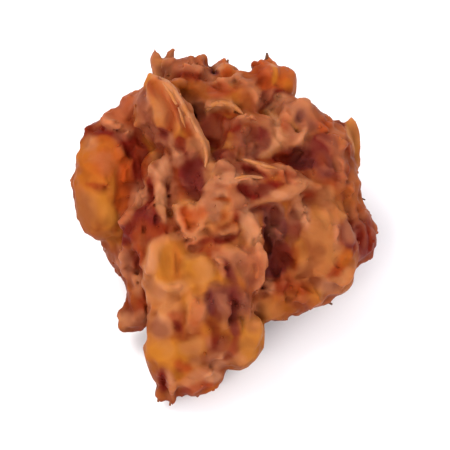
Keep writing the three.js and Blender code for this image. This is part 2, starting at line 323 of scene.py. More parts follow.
def streak(points, wide, share=1.0, **tint):
    """A line of colour on the face, as where an edge of onion shows through."""
    path = [[*at, skin_over(*at)] for at in points]
    box, distance = swept(path, wide, 2 * STREAK_DEEP, 0.0, 4, FACE)
    tinge(box, share * np.clip(0.5 - 2 * distance / wide, 0, 1), tint)


# The mass in the middle of the clump, under every slice.
lump([1, 7.5, 18], [22, 21.5, 17.5], frame_of=LEVEL)
lump([1, 2.5, 8], [20, 22, 10], frame_of=LEVEL)
lump([0, 20.5, 21], [21, 14.5, 13.5], frame_of=LEVEL)
lump([-14.4, -2.5, 18], [8.4, 10, 11], frame_of=LEVEL)
lump([-13, 15.5, 28], [8, 9, 8.5], frame_of=LEVEL)
lump([2, -9, 7], [8, 9, 5.5])

# ---- The back and the sides ----
# Out of sight the same mixture goes on: two rings of lumps, with onion strips across them.

BACK_FROM, BACK_TO = -20.0, 196.0  # degrees round the upright axis
BACK_MIDDLE = np.array([1.2, 6.5])
OUT_STRAY, UP_STRAY, LEAN_STRAY = 4, 8, 50  # what a stray of 1 is: mm, mm and degrees
BACK_RINGS = (  # each lump strays from its ring by its own share
    dict(height=10.5, out=22.0, half=(9.5, 6.5, 8.0), strays=(0.2, -0.3, 0.1, -0.2, 0.3, -0.1, 0.2)),
    dict(height=22.0, out=19.5, half=(9.5, 7.5, 8.0), strays=(-0.2, 0.3, -0.1, 0.2, -0.3, 0.1)),
)
BACK_STRIPS = (
    dict(turn=(5, 62), height=(11, 23), reach=27.5, tint=dict(onion=0.7)),
    dict(turn=(55, 118), height=(29, 19), reach=28.0, tint=dict(pale=0.6)),
    dict(turn=(82, 150), height=(10, 20), reach=29.5, tint=dict(carrot=0.6)),
    dict(turn=(128, 186), height=(28, 14), reach=28.5, tint=dict(ochre=0.6)),
)
BACK_SAG = 3  # how far a strip's ends sink in, and its line sways up and down
back_random = np.random.default_rng(11)


def round_back(degrees, reach, height):
    a = math.radians(degrees)
    x, y = BACK_MIDDLE + reach * np.array([math.cos(a), math.sin(a)])
    return [x, y, height]


for level, ring in enumerate(BACK_RINGS):
    for i, stray in enumerate(ring["strays"]):
        degrees = BACK_FROM + (BACK_TO - BACK_FROM) * (i + 0.5 * level) / (len(ring["strays"]) - 1)
        spot = round_back(degrees, ring["out"] + OUT_STRAY * stray,
                          ring["height"] + UP_STRAY * stray)
        lump(spot, ring["half"], spin=degrees - 90, lean=LEAN_STRAY * stray, frame_of=LEVEL,
             ochre=back_random.uniform(0, 0.8), carrot=back_random.uniform(0, 0.3), pale=0.2)
for piece in BACK_STRIPS:
    points = [round_back(degrees, piece["reach"] - BACK_SAG * (2 * share - 1) ** 2,
                         height + BACK_SAG * math.sin(2 * math.pi * share))
              for share, degrees, height in zip(np.linspace(0, 1, 5),
                                                np.linspace(*piece["turn"], 5),
                                                np.linspace(*piece["height"], 5))]
    strip(points, 4.4, 6.0, frame_of=LEVEL, **piece["tint"])

# ---- The left side ----
# A thick round slice of onion, thinly battered and golden, with a red slice tucked in behind it
# and a ragged strip hanging down below.

lump([-27.3, 8.4, -3.6], [6.1, 12.2, 7.6], spin=-3, ochre=0.8, carrot=0.3)
lump([-32.9, 10.4, -5], [1.2, 0.8, 1.8], pale=0.3, chilli=0.4)
lump([-24.4, 21.2, -4], [7, 4.2, 5.6], spin=38, carrot=0.7, chilli=0.4)
lump([-20.6, 18, -3], [5.6, 4.4, 5.4], spin=-30, chilli=0.9)
lump([-18.6, -4, -3.4], [5.6, 7.2, 6], chilli=0.3)
lump([-18.8, 4, -3], [4.6, 7, 6], chilli=0.5, carrot=0.3)
lump([-18.4, -12.5, -4], [4, 9, 7], spin=4, carrot=0.2, ochre=0.2)
lump([-21.4, -21.2, -4], [2.5, 3, 3.4], spin=-14, pale=0.3, chilli=0.5)
lump([-18.6, -18.6, -3], [2.6, 4.8, 5], chilli=0.9)
lump([-25.2, -5.6, -5], [1.7, 1, 1.8], spin=-20, onion=0.7)
lump([-28.8, 19.4, -5], [2.8, 3.4, 4.4], spin=30, chilli=0.8)
lump([-20.4, 26.6, -3], [2.8, 3.4, 4.4], carrot=0.3, pale=0.2)
stain([-27.6, 14.6], [5, 6], share=0.8, carrot=0.5, ochre=0.6)
streak([[-30.6, 9.2], [-28.2, 8.4], [-26, 8.6]], 1.4, share=0.7, carrot=0.6, chilli=0.3)
stain([-24.8, 14.2], [1.6, 1.6], share=0.8, carrot=0.8, chilli=0.4)
stain([-30.4, 3], [3.6, 5.6], share=0.9, ochre=1.1, pale=0.35)
stain([-27.4, 4.6], [2.2, 4.4], share=0.7, ochre=1, onion=0.12)
lump([-21.4, 11, -1.2], [3, 5.6, 4.6], carrot=0.6, chilli=0.3)
stain([-19, 11.4], [1.7, 4.6], spin=8, edge=2.4, chilli=0.95)
stain([-22.8, 7], [1.9, 9], spin=2, share=0.9, carrot=0.6, chilli=0.4)
groove([[-22.2, 14.6], [-21, 11], [-20.8, 7], [-22.2, 2.6], [-24.6, -1.4]], 1.6, 0.6, join=1.4,
       chilli=0.5, carrot=0.6)
lay([[-24, 17.4], [-23.2, 16], [-22.4, 14.4]], 2.8, 1.6, thick=4, join=1.4, carrot=0.7, chilli=0.2)
stain([-22.2, 11], [1.8, 4.4], edge=2, carrot=0.9, chilli=0.15)
stain([-22.6, 5.6], [1.8, 3.4], edge=2, carrot=0.7, ochre=0.2)
groove([[-31, 18.8], [-29.6, 20.8], [-26.8, 21.4], [-24, 20.2], [-21.6, 18]], 1.4, 0.9, join=0.9,
       chilli=1)
streak([[-31, 19.8], [-30, 22], [-27.6, 24.2]], 1.8, chilli=1)
lay([[-27.4, 22.4], [-25, 22.8], [-22.4, 21.8], [-20.4, 20.2]], 1.5, 0.9, tip=-20, join=0.6,
    carrot=0.6, pale=0.9)
lay([[-25.6, 24.6], [-22.6, 25], [-19.6, 24.6]], 2.4, 0.6, join=1, carrot=0.7, chilli=0.2)
stain([-23, 25.2], [3.6, 2.4], spin=20, edge=2, carrot=0.7, chilli=0.1, pale=0.3)
stain([-19, 27], [2.2, 3], spin=-30, edge=2, carrot=0.4, pale=0.5)
stain([-30, 18], [1.8, 2.4], share=0.6, pale=0.8)
stain([-26.4, 13.8], [3.2, 4], edge=1.8, carrot=0.55, ochre=0.8, onion=0.16)
stain([-20, 17], [5, 2.8], spin=-38, edge=2.4, chilli=1)
stain([-16.4, 13.8], [2.4, 2.2], edge=2.4, chilli=1)
lay([[-17.4, 10.6], [-18.4, 8], [-19.6, 4.8], [-21.4, 1.8], [-23, -0.8]], 2.3, 1.3, tip=14,
    join=0.7, pale=0.6, carrot=0.6)
stain([-21.6, -2.2], [5, 2.6], spin=34, edge=2.4, chilli=0.75, onion=0.35)
stain([-17.8, 2.6], [2.6, 5], spin=6, edge=2.2, chilli=0.85, onion=0.2)
groove([[-18.6, 3.4], [-17.8, 0.6], [-18.6, -2.6]], 1, 0.5, chilli=0.7)
lay([[-22.4, -5], [-21.8, -9.6], [-21.2, -15]], 2.6, 0.9, ochre=0.35, pale=0.15)
lay([[-18.6, -3.4], [-17.8, -6.4], [-17.6, -10]], 1.6, 0.8, carrot=0.4, pale=0.15)
groove([[-19.4, -6], [-19.2, -10], [-19.4, -14]], 1.1, 0.8, chilli=0.7, carrot=0.2)
stain([-18.2, -17.2], [1.8, 4.4], share=0.8, chilli=0.6, carrot=0.5)
stain([-19.4, -13], [2, 3.6], pale=0.5, ochre=0.2)
stain([-22.2, -9], [2.2, 5.4], edge=2.2, carrot=0.3, pale=0.7)
stain([-18, -6], [2.2, 2.6], share=0.7, carrot=0.5, chilli=0.3)
stain([-21.2, -21.4], [2.8, 2.6], edge=2, pale=0.6, onion=0.35)
lay([[-19.2, 14.6], [-18.8, 12.8], [-18.8, 11]], 1.8, 1.4, join=1.2, chilli=0.9)
stain([-26.2, 14], [3.4, 4.2], edge=2, carrot=0.6, ochre=0.7, onion=0.1, chilli=0.15)
stain([-26, 2], [3, 3.6], edge=2, ochre=1, pale=0.15)
stain([-18.8, 7.2], [2.4, 3.6], edge=2, pale=0.65, carrot=0.4)
lay([[-17.9, 2.4], [-17.8, 0.6], [-17.9, -1]], 1.6, 0.8, join=1, chilli=0.7, carrot=0.2)
lay([[-16.1, 3.2], [-15.8, 2.2], [-15.6, 1]], 1.5, 0.9, join=1, chilli=0.5, pale=0.3)
stain([-18.4, -21], [1.8, 2.6], edge=2, chilli=0.4, pale=0.4)

# ---- The petal ----
# One cupped layer of onion standing up beside the round slice: its right edge is a pale, sharp
# rib, its inside is reddish, and a pale strip of the next layer curls out of its hollow.

lump([-11.4, 22.4, 4.4], [5.2, 11.6, 6], spin=25, ochre=0.3)
lump([-16.8, 25.2, 0.6], [3.6, 6.4, 6], spin=4, pale=0.2)
lump([-8, 14, 3.8], [5, 10, 6], spin=10, chilli=0.6)
lump([-14, 8, 2], [5, 9, 6], chilli=0.4)
stain([-17.4, 23], [2.6, 5], onion=0.25, pale=0.4)
stain([-15.4, 26.4], [3, 5.4], spin=14, share=0.7, ochre=0.6)
lay([[-14.8, 32.4], [-12.8, 31.4], [-10.8, 28.8], [-8.8, 25.4], [-6.8, 21.8], [-5, 18.4],
     [-4, 15.2], [-4.2, 12]], 1.3, 1.8, thick=4, tip=-16, join=0.5, pale=1.2)
lay([[-15.8, 30.2], [-15, 26.6], [-13.8, 22.8], [-13.2, 20.6]], 2.4, 0.6, join=1.2, ochre=0.45,
    pale=0.2)
lay([[-13.6, 30.6], [-11.8, 27.6], [-10.4, 24.4], [-9.8, 21]], 1.7, 0.8, join=0.8, ochre=0.8,
    pale=0.3)
groove([[-14.2, 29.2], [-12.8, 26.2], [-11.6, 22.8], [-11.2, 19.6]], 0.9, 0.6, carrot=0.5,
       chilli=0.4)
groove([[-11.8, 28.4], [-9.8, 24.8], [-8.2, 21.4], [-7.4, 18.6]], 0.9, 0.7, carrot=0.4, chilli=0.5)
groove([[-9.6, 29.6], [-7.4, 26], [-5.2, 22.2], [-3.2, 18.6]], 2.2, 1.4, join=1.2, chilli=0.95)
dent([-15.4, 31], [0.9, 0.7], 0.7, chilli=0.8)
stain([-15.8, 20.2], [2.2, 2.4], onion=0.4, pale=0.5)
dent([-13, 19.4], [0.8, 1.8], 0.8, spin=4, join=0.8, onion=0.6, chilli=0.6)
streak([[-11.4, 20.4], [-11.4, 17.6], [-11, 15.4]], 1.3, pale=0.6, chilli=0.25)
groove([[-9.8, 19.8], [-9.4, 17], [-9.2, 13.6]], 1.5, 1, chilli=1)
dent([-7.2, 11.6], [2.6, 5], 1.9, spin=2, join=1.6, chilli=0.95, onion=0.35)
lay([[-8, 18.4], [-7.2, 16.8], [-7.2, 14.6]], 1.5, 0.9, join=0.8, pale=0.6, chilli=0.35)
stain([-7, 10.6], [3, 5.4], edge=2.4, chilli=0.95, onion=0.3)
lay([[-16.6, 11.4], [-15.2, 12.4], [-13.6, 13.6], [-12.4, 14.8]], 2.4, 0.9, thick=3, tip=-10,
    join=0.7, pale=0.9, onion=0.1)
stain([-14.4, 12.8], [3, 1.8], spin=34, edge=2, share=0.8, pale=0.6, onion=0.25)
lay([[-12.6, 14.6], [-13.2, 11.4], [-14.2, 8.6], [-14.6, 5.8], [-14.2, 3], [-13, 0.2]], 2.8, 1.2,
    thick=2.4, tip=14, join=0.5, pale=1, onion=0.1)
groove([[-16.8, 10], [-16.4, 7], [-16.2, 3.6], [-15.2, 0.6]], 1.2, 1.2, chilli=0.95)
groove([[-12.6, 8], [-12.6, 4.6], [-11.8, 1.8]], 0.9, 0.9, chilli=0.8)
lay([[-11.2, 10.6], [-11.4, 7.4], [-11.2, 4.4]], 1.3, 0.9, join=0.6, pale=0.5, chilli=0.4)
stain([-17.6, -0.4], [4.4, 5], edge=2.6, chilli=0.9, onion=0.3)
stain([-18.4, 7.4], [1.7, 3], edge=2, pale=1, carrot=0.3)
stain([-18, 1.8], [2.2, 3.2], edge=2.4, chilli=0.95, onion=0.3)
stain([-14.2, 6], [1.6, 3.6], pale=1.1)
stain([-14, -2.4], [2.8, 2.2], edge=2.4, chilli=0.6, carrot=0.3)
stain([-14.4, 30], [2.6, 3.2], edge=2.2, carrot=0.4, onion=0.2, chilli=0.1)
stain([-13.8, 25.4], [2.4, 4.6], spin=18, share=0.8, ochre=0.4, pale=0.3, onion=0.15)
stain([-17.4, 26.6], [1.8, 3.6], edge=2, share=0.8, pale=0.6, onion=0.15)
stain([-14.4, 14.8], [2.2, 2], share=0.5, onion=0.4, pale=0.3)
stain([-10.4, 15], [2, 2.6], edge=2, pale=0.7, chilli=0.25)
stain([-6.6, 18.2], [2, 2.2], edge=2, share=0.8, chilli=0.4, onion=0.35, pale=0.3)
stain([-14, 17.8], [2, 1.8], edge=2, share=0.8, pale=0.5, onion=0.3)
stain([-6.4, 9.8], [2.6, 4.2], edge=2.4, chilli=0.9, onion=0.6)

# ---- The crown ----
# Slices standing up round the back edge: red ones with rounded ends, an orange wedge of carrot
# with two burnt points, and the tan tip of an onion layer.

strip([[-16.3, 39.4, -8.4], [-15.9, 36, -8], [-14.6, 31.6, -6.4]], 2.3, 3.2, blunt=12, pale=0.8,
      ochre=0.3)
strip([[-12.2, 39, -9], [-12.8, 37.2, -8.8], [-13.2, 35.4, -8]], 1.1, 1.4, blunt=8, onion=1)
strip([[-15, 34.8, -7], [-10, 35.4, -7], [-6, 35.8, -8]], 4.4, 7, chilli=0.4, onion=0.25,
      pale=0.15)
lump([-6.3, 35.8, -7.6], [2.4, 2.4, 3.2], carrot=0.5, chilli=0.5)
lump([-8, 30.4, -6], [6.8, 6, 7], chilli=0.2, ochre=0.15)
lump([-3, 28, -5], [6, 5, 7], ochre=0.2)
lump([0.1, 34, -8.4], [3, 2.4, 4.2], spin=10, carrot=0.7, ochre=0.2)
strip([[0.2, 32, -8.6], [0.4, 35.2, -8.8], [0.5, 37.1, -9]], 2.4, 3.6, blunt=2, carrot=0.5,
      onion=0.3)
lump([4.2, 30, -7], [5.6, 4.4, 6], carrot=0.15, pale=0.1)
lump([1, 27.5, -4.6], [8, 4.6, 7], ochre=0.1)
lump([9.2, 32, -8.4], [3.9, 5.2, 5], carrot=0.95, chilli=0.3)
lump([13.2, 31.8, -9.2], [3.8, 4.4, 4.8], spin=-24, ochre=0.6, carrot=0.5)
strip([[10.2, 31, -9], [10.2, 35.4, -9.2], [9.6, 38.8, -9.4]], 3, 3.4, blunt=1.3, carrot=0.6,
      ochre=0.6)
strip([[7.8, 30, -8], [7.2, 33.8, -8.4], [6.9, 37.8, -8.8]], 3.2, 4.6, blunt=8, carrot=0.9,
      onion=0.2)
stain([-9, 35.2], [5.8, 2], spin=-4, edge=2, chilli=0.3, carrot=0.4, pale=0.35)
groove([[-13.6, 32.4], [-10.6, 33], [-7.4, 32.8], [-4.4, 33.4]], 1, 0.5, join=1, chilli=0.6,
       carrot=0.3)
lay([[-12, 31.6], [-8.4, 31.4], [-5, 30.4]], 2.2, 0.7, join=1.2, ochre=0.3, carrot=0.2)
stain([-7.4, 29.4], [3.2, 2.4], spin=-10, ochre=0.25, carrot=0.25)
lay([[-3.9, 34.8], [-2.8, 32.6], [-0.8, 31.4], [1.2, 32.2], [3, 33.6]], 1.4, 1.2, tip=16, join=0.6,
    pale=0.9)
dent([-2.4, 34.2], [0.7, 1.2], 0.9, spin=-20, join=0.7, onion=0.9, chilli=0.4)
stain([0, 34], [1.6, 1.8], carrot=1)
lay([[2.4, 33.6], [3.8, 31.6], [4.8, 29.2]], 1.9, 0.8, join=1, pale=0.6)
streak([[2.6, 30.8], [1.4, 29.6], [-0.6, 29.2]], 1.4, carrot=0.4, chilli=0.4)
lay([[9.4, 30.2], [12, 29.8], [14.8, 30]], 2.6, 1, join=1.2, carrot=0.7, chilli=0.3)
lay([[8, 28], [10.2, 28.4], [12.6, 28.4]], 3.2, 2.2, thick=5, join=1.8, chilli=0.9, carrot=0.2)
dent([8.8, 27.8], [1.2, 1.6], 0.6, join=1, chilli=1.1)
stain([12.4, 28.4], [1.8, 1.2], edge=2, pale=1)
stain([8.2, 32.4], [2.4, 3.2], carrot=1, chilli=0.35)
streak([[9.6, 30], [12, 29.6], [14.8, 29.8]], 1.4, chilli=0.9)
stain([12.8, 33], [2, 2.2], ochre=0.5, carrot=0.7)
lay([[5.4, 29.8], [6.4, 27.6], [8.4, 26.2], [10.8, 25.8]], 1.5, 0.8, join=0.7, pale=0.55)
lay([[11.4, 28.2], [12.8, 27.4], [14.6, 27.4]], 2.6, 1, pale=0.85)
stain([14.2, 31.6], [2, 1.8], ochre=0.6, carrot=0.4)
stain([13.2, 28.4], [2.2, 1.6], pale=0.8)
stain([-14, 34.4], [2.6, 2.2], edge=2, onion=0.6, ochre=0.3)
stain([-1.8, 30.4], [2.2, 1.8], share=0.7, carrot=0.5, chilli=0.2)
stain([-1.6, 35.6], [1.6, 1.2], pale=0.7)
stain([-1.4, 30.2], [2.6, 2], edge=2, carrot=0.6, chilli=0.4)
stain([-6, 26.4], [2.4, 2.2], edge=2, carrot=0.4, pale=0.5)
stain([10.4, 26.4], [2.4, 1.6], edge=2, carrot=0.4, chilli=0.2, pale=0.4)
stain([-1.6, 30], [2.6, 2.2], edge=2.2, carrot=0.5, chilli=0.4)
streak([[10.8, 36.4], [11.2, 33.8], [10.6, 31.4]], 1.5, ochre=0.9, carrot=0.2)
streak([[5.6, 27.6], [7.2, 25.4], [9.6, 24.2]], 1.6, carrot=0.3, chilli=0.3)
stain([-2, 26.2], [1.6, 1.2], pale=0.9)
stain([-9, 28], [2.4, 2.4], share=0.7, pale=0.6, chilli=0.2)
stain([10.8, 25.8], [1.8, 1.4], edge=2, carrot=0.4, pale=0.6)

# ---- The right shoulder ----
# Red onion rolled round a small dark hole, a golden curl in front of it, and the upright rim of
# a slice, whose point sticks up at the far right.

lump([17, 23.4, -6], [6.4, 4.8, 7], spin=-33, onion=0.2, pale=0.3)
lump([21.6, 21.4, -7], [3.4, 3, 5.5], spin=-30, carrot=0.7)
lump([22.4, 15, -6], [6.8, 7.6, 8], ochre=0.1)
lump([21.5, 9, -3.4], [8.6, 6, 8], ochre=0.15)
lump([18, 5.4, -0.6], [3.4, 3.4, 4], chilli=0.4, carrot=0.4)
strip([[28.7, 24.2, -12], [28.9, 20.6, -11.6], [28.7, 15.7, -11], [28.3, 10.9, -10],
       [28, 4.5, -9]], 3.4, 6.4, blunt=2.2, join=1, ochre=0.8, pale=0.2)
lump([25.2, 19.6, -9], [2.8, 3, 4.5], carrot=0.4, ochre=0.2)
lay([[13.4, 25.4], [14.6, 26.8], [17, 27.2], [19, 26]], 1.7, 0.6, join=0.8, onion=0.15, pale=0.7)
lay([[13.8, 24], [14.4, 21.8], [16.4, 20.2], [18.8, 20.4]], 1.5, 1, join=0.6, pale=0.7,
    chilli=0.2)
dent([17.3, 24.4], [1, 1.6], 0.7, spin=-8, join=1.2, onion=1)
stain([16.6, 25.4], [3.2, 2.2], share=0.8, onion=0.4, pale=0.6)
stain([17.2, 24.2], [1.6, 2.2], edge=2, onion=0.9, pale=0.1)
stain([22, 22.6], [2.2, 2.4], carrot=0.9, chilli=0.2)
stain([17.6, 15], [5.2, 3.6], spin=4, share=0.9, chilli=0.6, onion=0.5)
lump([15.6, 18.4, -1.2], [3.6, 2.4, 4], chilli=0.5, onion=0.4)
dent([17.2, 13.8], [4.4, 2.2], 1, spin=4, join=2.2, chilli=0.6, onion=0.6)
stain([17.6, 13.1], [3, 1.3], edge=2.4, onion=1, chilli=0.7)
stain([12, 14.2], [2.4, 1.6], edge=2, chilli=0.9)
lay([[10.2, 25], [11.3, 22.8], [12.5, 20.6], [12.5, 18.8], [11, 17.2], [9, 16.1], [7, 15.1]], 2.1, 1.8,
    thick=5, tip=10, join=0.9, pale=0.8, ochre=0.6)
lay([[14.2, 17.7], [16.4, 18.6], [18.2, 20.2], [19, 22.4]], 1.5, 1.4, thick=4, join=0.9, chilli=0.3,
    pale=0.5)
stain([14, 23], [1.6, 2.6], edge=2, carrot=0.6, pale=0.2)
stain([21.8, 17.6], [3.4, 3.6], edge=2.2, chilli=0.9, onion=0.3)
stain([22.4, 12.6], [3.6, 4.2], edge=2.2, onion=0.7, chilli=0.3)
stain([26, 11], [2.2, 4.4], share=0.7, chilli=0.4, carrot=0.3)
lay([[13.4, 23.4], [14.4, 22.2], [15.6, 21]], 2.4, 1.4, join=1.4, pale=0.6, chilli=0.3)
stain([14, 22.4], [2, 2], share=0.6, chilli=0.4, carrot=0.3)
stain([19, 13.8], [2.8, 2.4], edge=2, chilli=0.8, onion=0.5)
stain([26, 14.4], [2, 3.2], edge=2, share=0.8, carrot=0.5, pale=0.3)
lay([[26, 19], [26.6, 14], [26.2, 9]], 1.8, 0.6, join=1.2, ochre=0.3)
groove([[24.8, 17], [25, 13], [24.6, 8.6]], 1, 0.6, join=0.9, chilli=0.5, onion=0.3)
groove([[27.6, 20], [27.6, 14.6], [27.2, 8.6]], 0.9, 0.8, chilli=0.6)
dent([26.2, 22.6], [1.3, 1.4], 1.8, onion=0.5)
stain([24, 8.6], [3.6, 2.2], share=0.7, chilli=0.4)
stain([29, 20.4], [2.4, 4.6], edge=2.4, ochre=1.1, pale=0.35)
lay([[11.2, 15.8], [13.4, 16.2], [15.6, 16.6]], 2.4, 1.1, join=1.4, chilli=0.8, carrot=0.1)
dent([17.8, 13.2], [3, 1.3], 1.2, spin=2, join=1.6, chilli=0.7, onion=0.5)
stain([17.6, 13.2], [3.6, 1.6], edge=2.6, chilli=0.8, onion=0.8)
stain([21.4, 13.6], [1.8, 2.4], share=0.8, chilli=0.5, onion=0.1)
stain([26, 14], [2.2, 3.4], edge=2, pale=0.35, carrot=0.3, chilli=0.15)
streak([[10.2, 25], [11.4, 22.8], [12.7, 20.4], [12.3, 18.2], [9.6, 16.4], [7.4, 15.4]], 1.3, pale=1,
       ochre=0.5)
stain([19, 22.6], [2.4, 2.2], edge=2, onion=0.45, chilli=0.2, pale=0.2)
streak([[16.2, 18.4], [18, 19.8], [18.9, 22]], 1.1, pale=0.8, onion=0.1)

# ---- The middle of the face ----
# Short curls of onion round small dark hollows, where the slices cross and the batter is thin.

lump([5, 19.4, 0.3], [7, 5.6, 6.2], onion=0.5)
lump([-1, 8, 6.2], [7, 7, 6.4], pale=0.5)
lump([9, 8, 4.5], [8, 6.2, 6.4], ochre=0.2)
lump([0, 1, 7.4], [7, 5, 6.4], pale=0.5, carrot=0.2)
lump([-1.8, 21.4, -1.6], [4.6, 5.4, 4.6], chilli=1)
dent([-1.6, 22.2], [3, 3.2], 1.2, join=1.2, chilli=1)
stain([-1.8, 20.6], [3.4, 4.4], edge=2.2, chilli=1)
lay([[-4.4, 24.8], [-3, 26.2], [-0.6, 26.8], [2, 26], [4, 24.2]], 1.8, 1.5, tip=8, join=0.6,
    pale=1)
streak([[-2, 24.8], [0.4, 25], [2.6, 24]], 1.3, carrot=0.5, chilli=0.5)
dent([5, 18.8], [0.8, 1.1], 0.8, join=0.7, chilli=0.5, onion=0.6)
groove([[6.8, 21.8], [7.8, 20.2], [9.6, 19]], 1.2, 0.8, chilli=0.8, onion=0.4)
groove([[8.6, 17.6], [7.4, 16.4], [5.8, 15.6]], 1.1, 0.7, chilli=0.7, onion=0.3)
lay([[3.8, 21.8], [5.6, 20.6], [6.9, 18.6], [6.2, 16.8], [4.2, 16.4]], 0.9, 0.8, join=0.5, onion=0.35,
    pale=0.5)
lay([[2, 22.6], [4.4, 23.4], [7, 22.8], [9.2, 21.4]], 1.3, 0.8, join=0.6, pale=0.45)
streak([[2.6, 20.6], [4.2, 19.6], [4.4, 18]], 1.1, onion=0.9)
stain([-0.6, 15.4], [3.8, 2.2], edge=2, chilli=0.8, carrot=0.2, onion=0.3)
stain([-1.4, 20.8], [3.4, 4.4], edge=2.6, chilli=1.1)
stain([2.2, 22], [2.4, 2.4], edge=2.4, chilli=1)
stain([4.8, 19.2], [2.8, 2.2], share=0.7, onion=0.25, chilli=0.25, pale=0.25)
lay([[3.2, 14.6], [5.6, 13.8], [8.6, 12.6], [12, 11.8], [15, 11.2]], 1.5, 1.1, tip=-16, join=0.5,
    pale=0.8)
groove([[3.6, 12.6], [6, 12], [9.4, 11]], 1, 0.8, chilli=0.9)
lay([[-3.6, 11.6], [-1.2, 12.8], [1.8, 12.6]], 2.6, 0.9, join=1.2, pale=0.9)
dent([6.4, 7.6], [3.9, 1.7], 1, spin=-4, join=1, chilli=1)
stain([6.4, 7.6], [4.6, 2.3], spin=-4, edge=2.6, chilli=1.1)
lay([[1.4, 9.8], [3.6, 10.4], [6.4, 10.5], [9, 10.2]], 1.1, 1, tip=-12, join=0.5, pale=0.9)
stain([10.4, 9.2], [2, 0.8], spin=-16, chilli=0.9)
lay([[-3, 11.4], [-3.8, 8.4], [-3.8, 5], [-4.8, 2.4]], 2.8, 1, tip=-10, join=0.9, pale=0.9,
    carrot=0.25)
lay([[1.4, 6.6], [3.4, 5.6], [5.4, 5]], 1.5, 0.7, pale=0.6)
streak([[9.2, 9.7], [11, 9.2], [13, 8.8]], 1.2, chilli=0.7, carrot=0.2)
lay([[6.4, 4.4], [9, 5.4], [12, 6.8], [15, 8], [18, 8.9], [20.4, 8]], 1.9, 0.8, join=1,
    pale=1, ochre=0.3)
stain([12.2, 6.6], [3, 1.1], spin=-22, edge=2, pale=0.9, ochre=0.2)
stain([14.6, 9.4], [2.4, 1], spin=-14, edge=2, carrot=0.4, chilli=0.3, pale=0.2)
stain([18, 5.8], [2, 2.6], share=0.8, chilli=0.45, carrot=0.3)
lump([-7.6, 0.9, 7], [3.8, 3.8, 5], spin=-30, carrot=0.8, ochre=0.3, pale=0.2)
stain([-7.8, 1], [3.6, 4], spin=-30, edge=2.4, carrot=0.9, ochre=0.3)
lay([[-10.8, 4.2], [-10.2, 1.8], [-8.8, -0.4], [-7.2, -2.2]], 1.2, 1.2, tip=20, join=0.5, pale=1)
lay([[-8.4, 4.8], [-6.6, 3.2], [-5.6, 1], [-5.8, -1.2]], 1.2, 0.9, join=0.6, ochre=0.3, pale=0.8)
groove([[-9.2, 3.4], [-8.2, 1.2], [-7, -0.8]], 0.9, 0.5, join=1, carrot=0.9, chilli=0.4)
lay([[-5, 6.6], [-4.6, 3.6], [-4.5, 1], [-4.9, -1.2]], 2, 1.2, thick=4, join=1.2, pale=0.6,
    carrot=0.5)
stain([-7, 1.2], [2, 2.6], spin=-20, edge=2, carrot=0.8, chilli=0.15)
stain([-7, 0.4], [1.9, 2.2], share=0.7, carrot=0.7, ochre=0.5)
lump([-5.8, -2.6, 8.6], [2.6, 2.4, 3.6], pale=0.6, carrot=0.5)
stain([-1.6, 6], [2.4, 2.6], pale=1)
stain([14.4, 10.8], [2.6, 1], spin=-8, share=0.8, chilli=0.5, onion=0.2)
stain([18, 11], [2.4, 1.4], share=0.6, onion=0.5)
stain([6, 2.6], [2.4, 2.2], pale=1)
stain([0.4, 10.4], [3.4, 1.8], edge=2, pale=1.1)
stain([-6.8, 9.8], [2.2, 4], edge=2.4, chilli=0.95, onion=0.5)
stain([13.8, 10.8], [3, 1.2], spin=-10, edge=2, share=0.8, carrot=0.4, chilli=0.35)
stain([9.8, 8.3], [2.2, 1], spin=8, edge=2.2, chilli=0.95)
lay([[17, 7.4], [18.2, 6.8], [19.2, 6.2]], 1.8, 0.8, join=1, carrot=0.4, chilli=0.4)
stain([17.8, 5.4], [1.8, 2], edge=2, chilli=0.5, carrot=0.3)
lay([[-1.6, 8.6], [-2, 6], [-2.4, 3.4], [-2.2, 1]], 2.8, 0.8, join=1.4, pale=0.95)
streak([[-3.4, 6.2], [-1.2, 6], [1.4, 5.2]], 0.9, carrot=0.6, chilli=0.1)
stain([-5.2, 2.8], [1.6, 2.2], edge=2, share=0.7, carrot=0.7, chilli=0.2)
streak([[8, 21.8], [9.6, 20.2], [10.2, 18.4], [9, 17]], 1.4, chilli=0.8, onion=0.2)
stain([9.6, 18.6], [1.9, 2.5], edge=2.4, chilli=0.85, onion=0.3)
stain([13, 14.8], [2.2, 1.6], edge=2, chilli=0.6, carrot=0.4)
stain([-15.4, 13.4], [1.3, 1.6], share=0.6, chilli=0.5)
stain([9, 27.6], [2.2, 2.5], edge=3, chilli=1.4)

# ---- The right lobe ----
# Two or three layers folded upright against each other, in even golden-brown batter.

lump([19.8, -4, -1.6], [9.2, 12.2, 9.2], ochre=0.45, pale=0.35)
lump([17, -12.8, -3], [7.2, 6.7, 8], ochre=0.1, carrot=0.2)
lump([24.9, -10.6, -5], [3.8, 4.6, 5], ochre=0.45, pale=0.3)
lump([12, -18.8, -1], [2.9, 3, 4.2], ochre=0.3)
lump([26.8, 4.6, -6.4], [3.8, 6, 6.4], ochre=0.2)
lump([28.8, -2.2, -7.4], [4.6, 6.8, 6.4], spin=4, chilli=0.8, carrot=0.4)
lay([[13.8, 7], [15.6, 5.6], [17.2, 3.2], [18.4, 0.6], [18.8, -1.8]], 1.6, 1.2, tip=16, join=0.6,
    pale=0.95)
streak([[15.2, 3.4], [15.8, 0.4], [15.6, -3.4]], 1.6, chilli=0.6, onion=0.3)
stain([18.2, 2], [1.6, 3.4], spin=20, edge=2, pale=1)
stain([21, -0.6], [3, 5.4], edge=1.8, share=0.9, ochre=0.6, pale=0.45)
stain([18, -9.6], [2.6, 3], share=0.8, ochre=0.4, pale=0.35)
stain([25.4, -10.4], [2.6, 2.6], edge=2, ochre=0.5, pale=0.5)
stain([20.4, 3], [1.6, 4.2], share=0.6, ochre=0.6, pale=0.2)
lay([[22, 4.4], [22.6, -1.6], [22.2, -6], [20.8, -11.6]], 2.8, 0.6, join=1.2, ochre=0.5, pale=0.3)
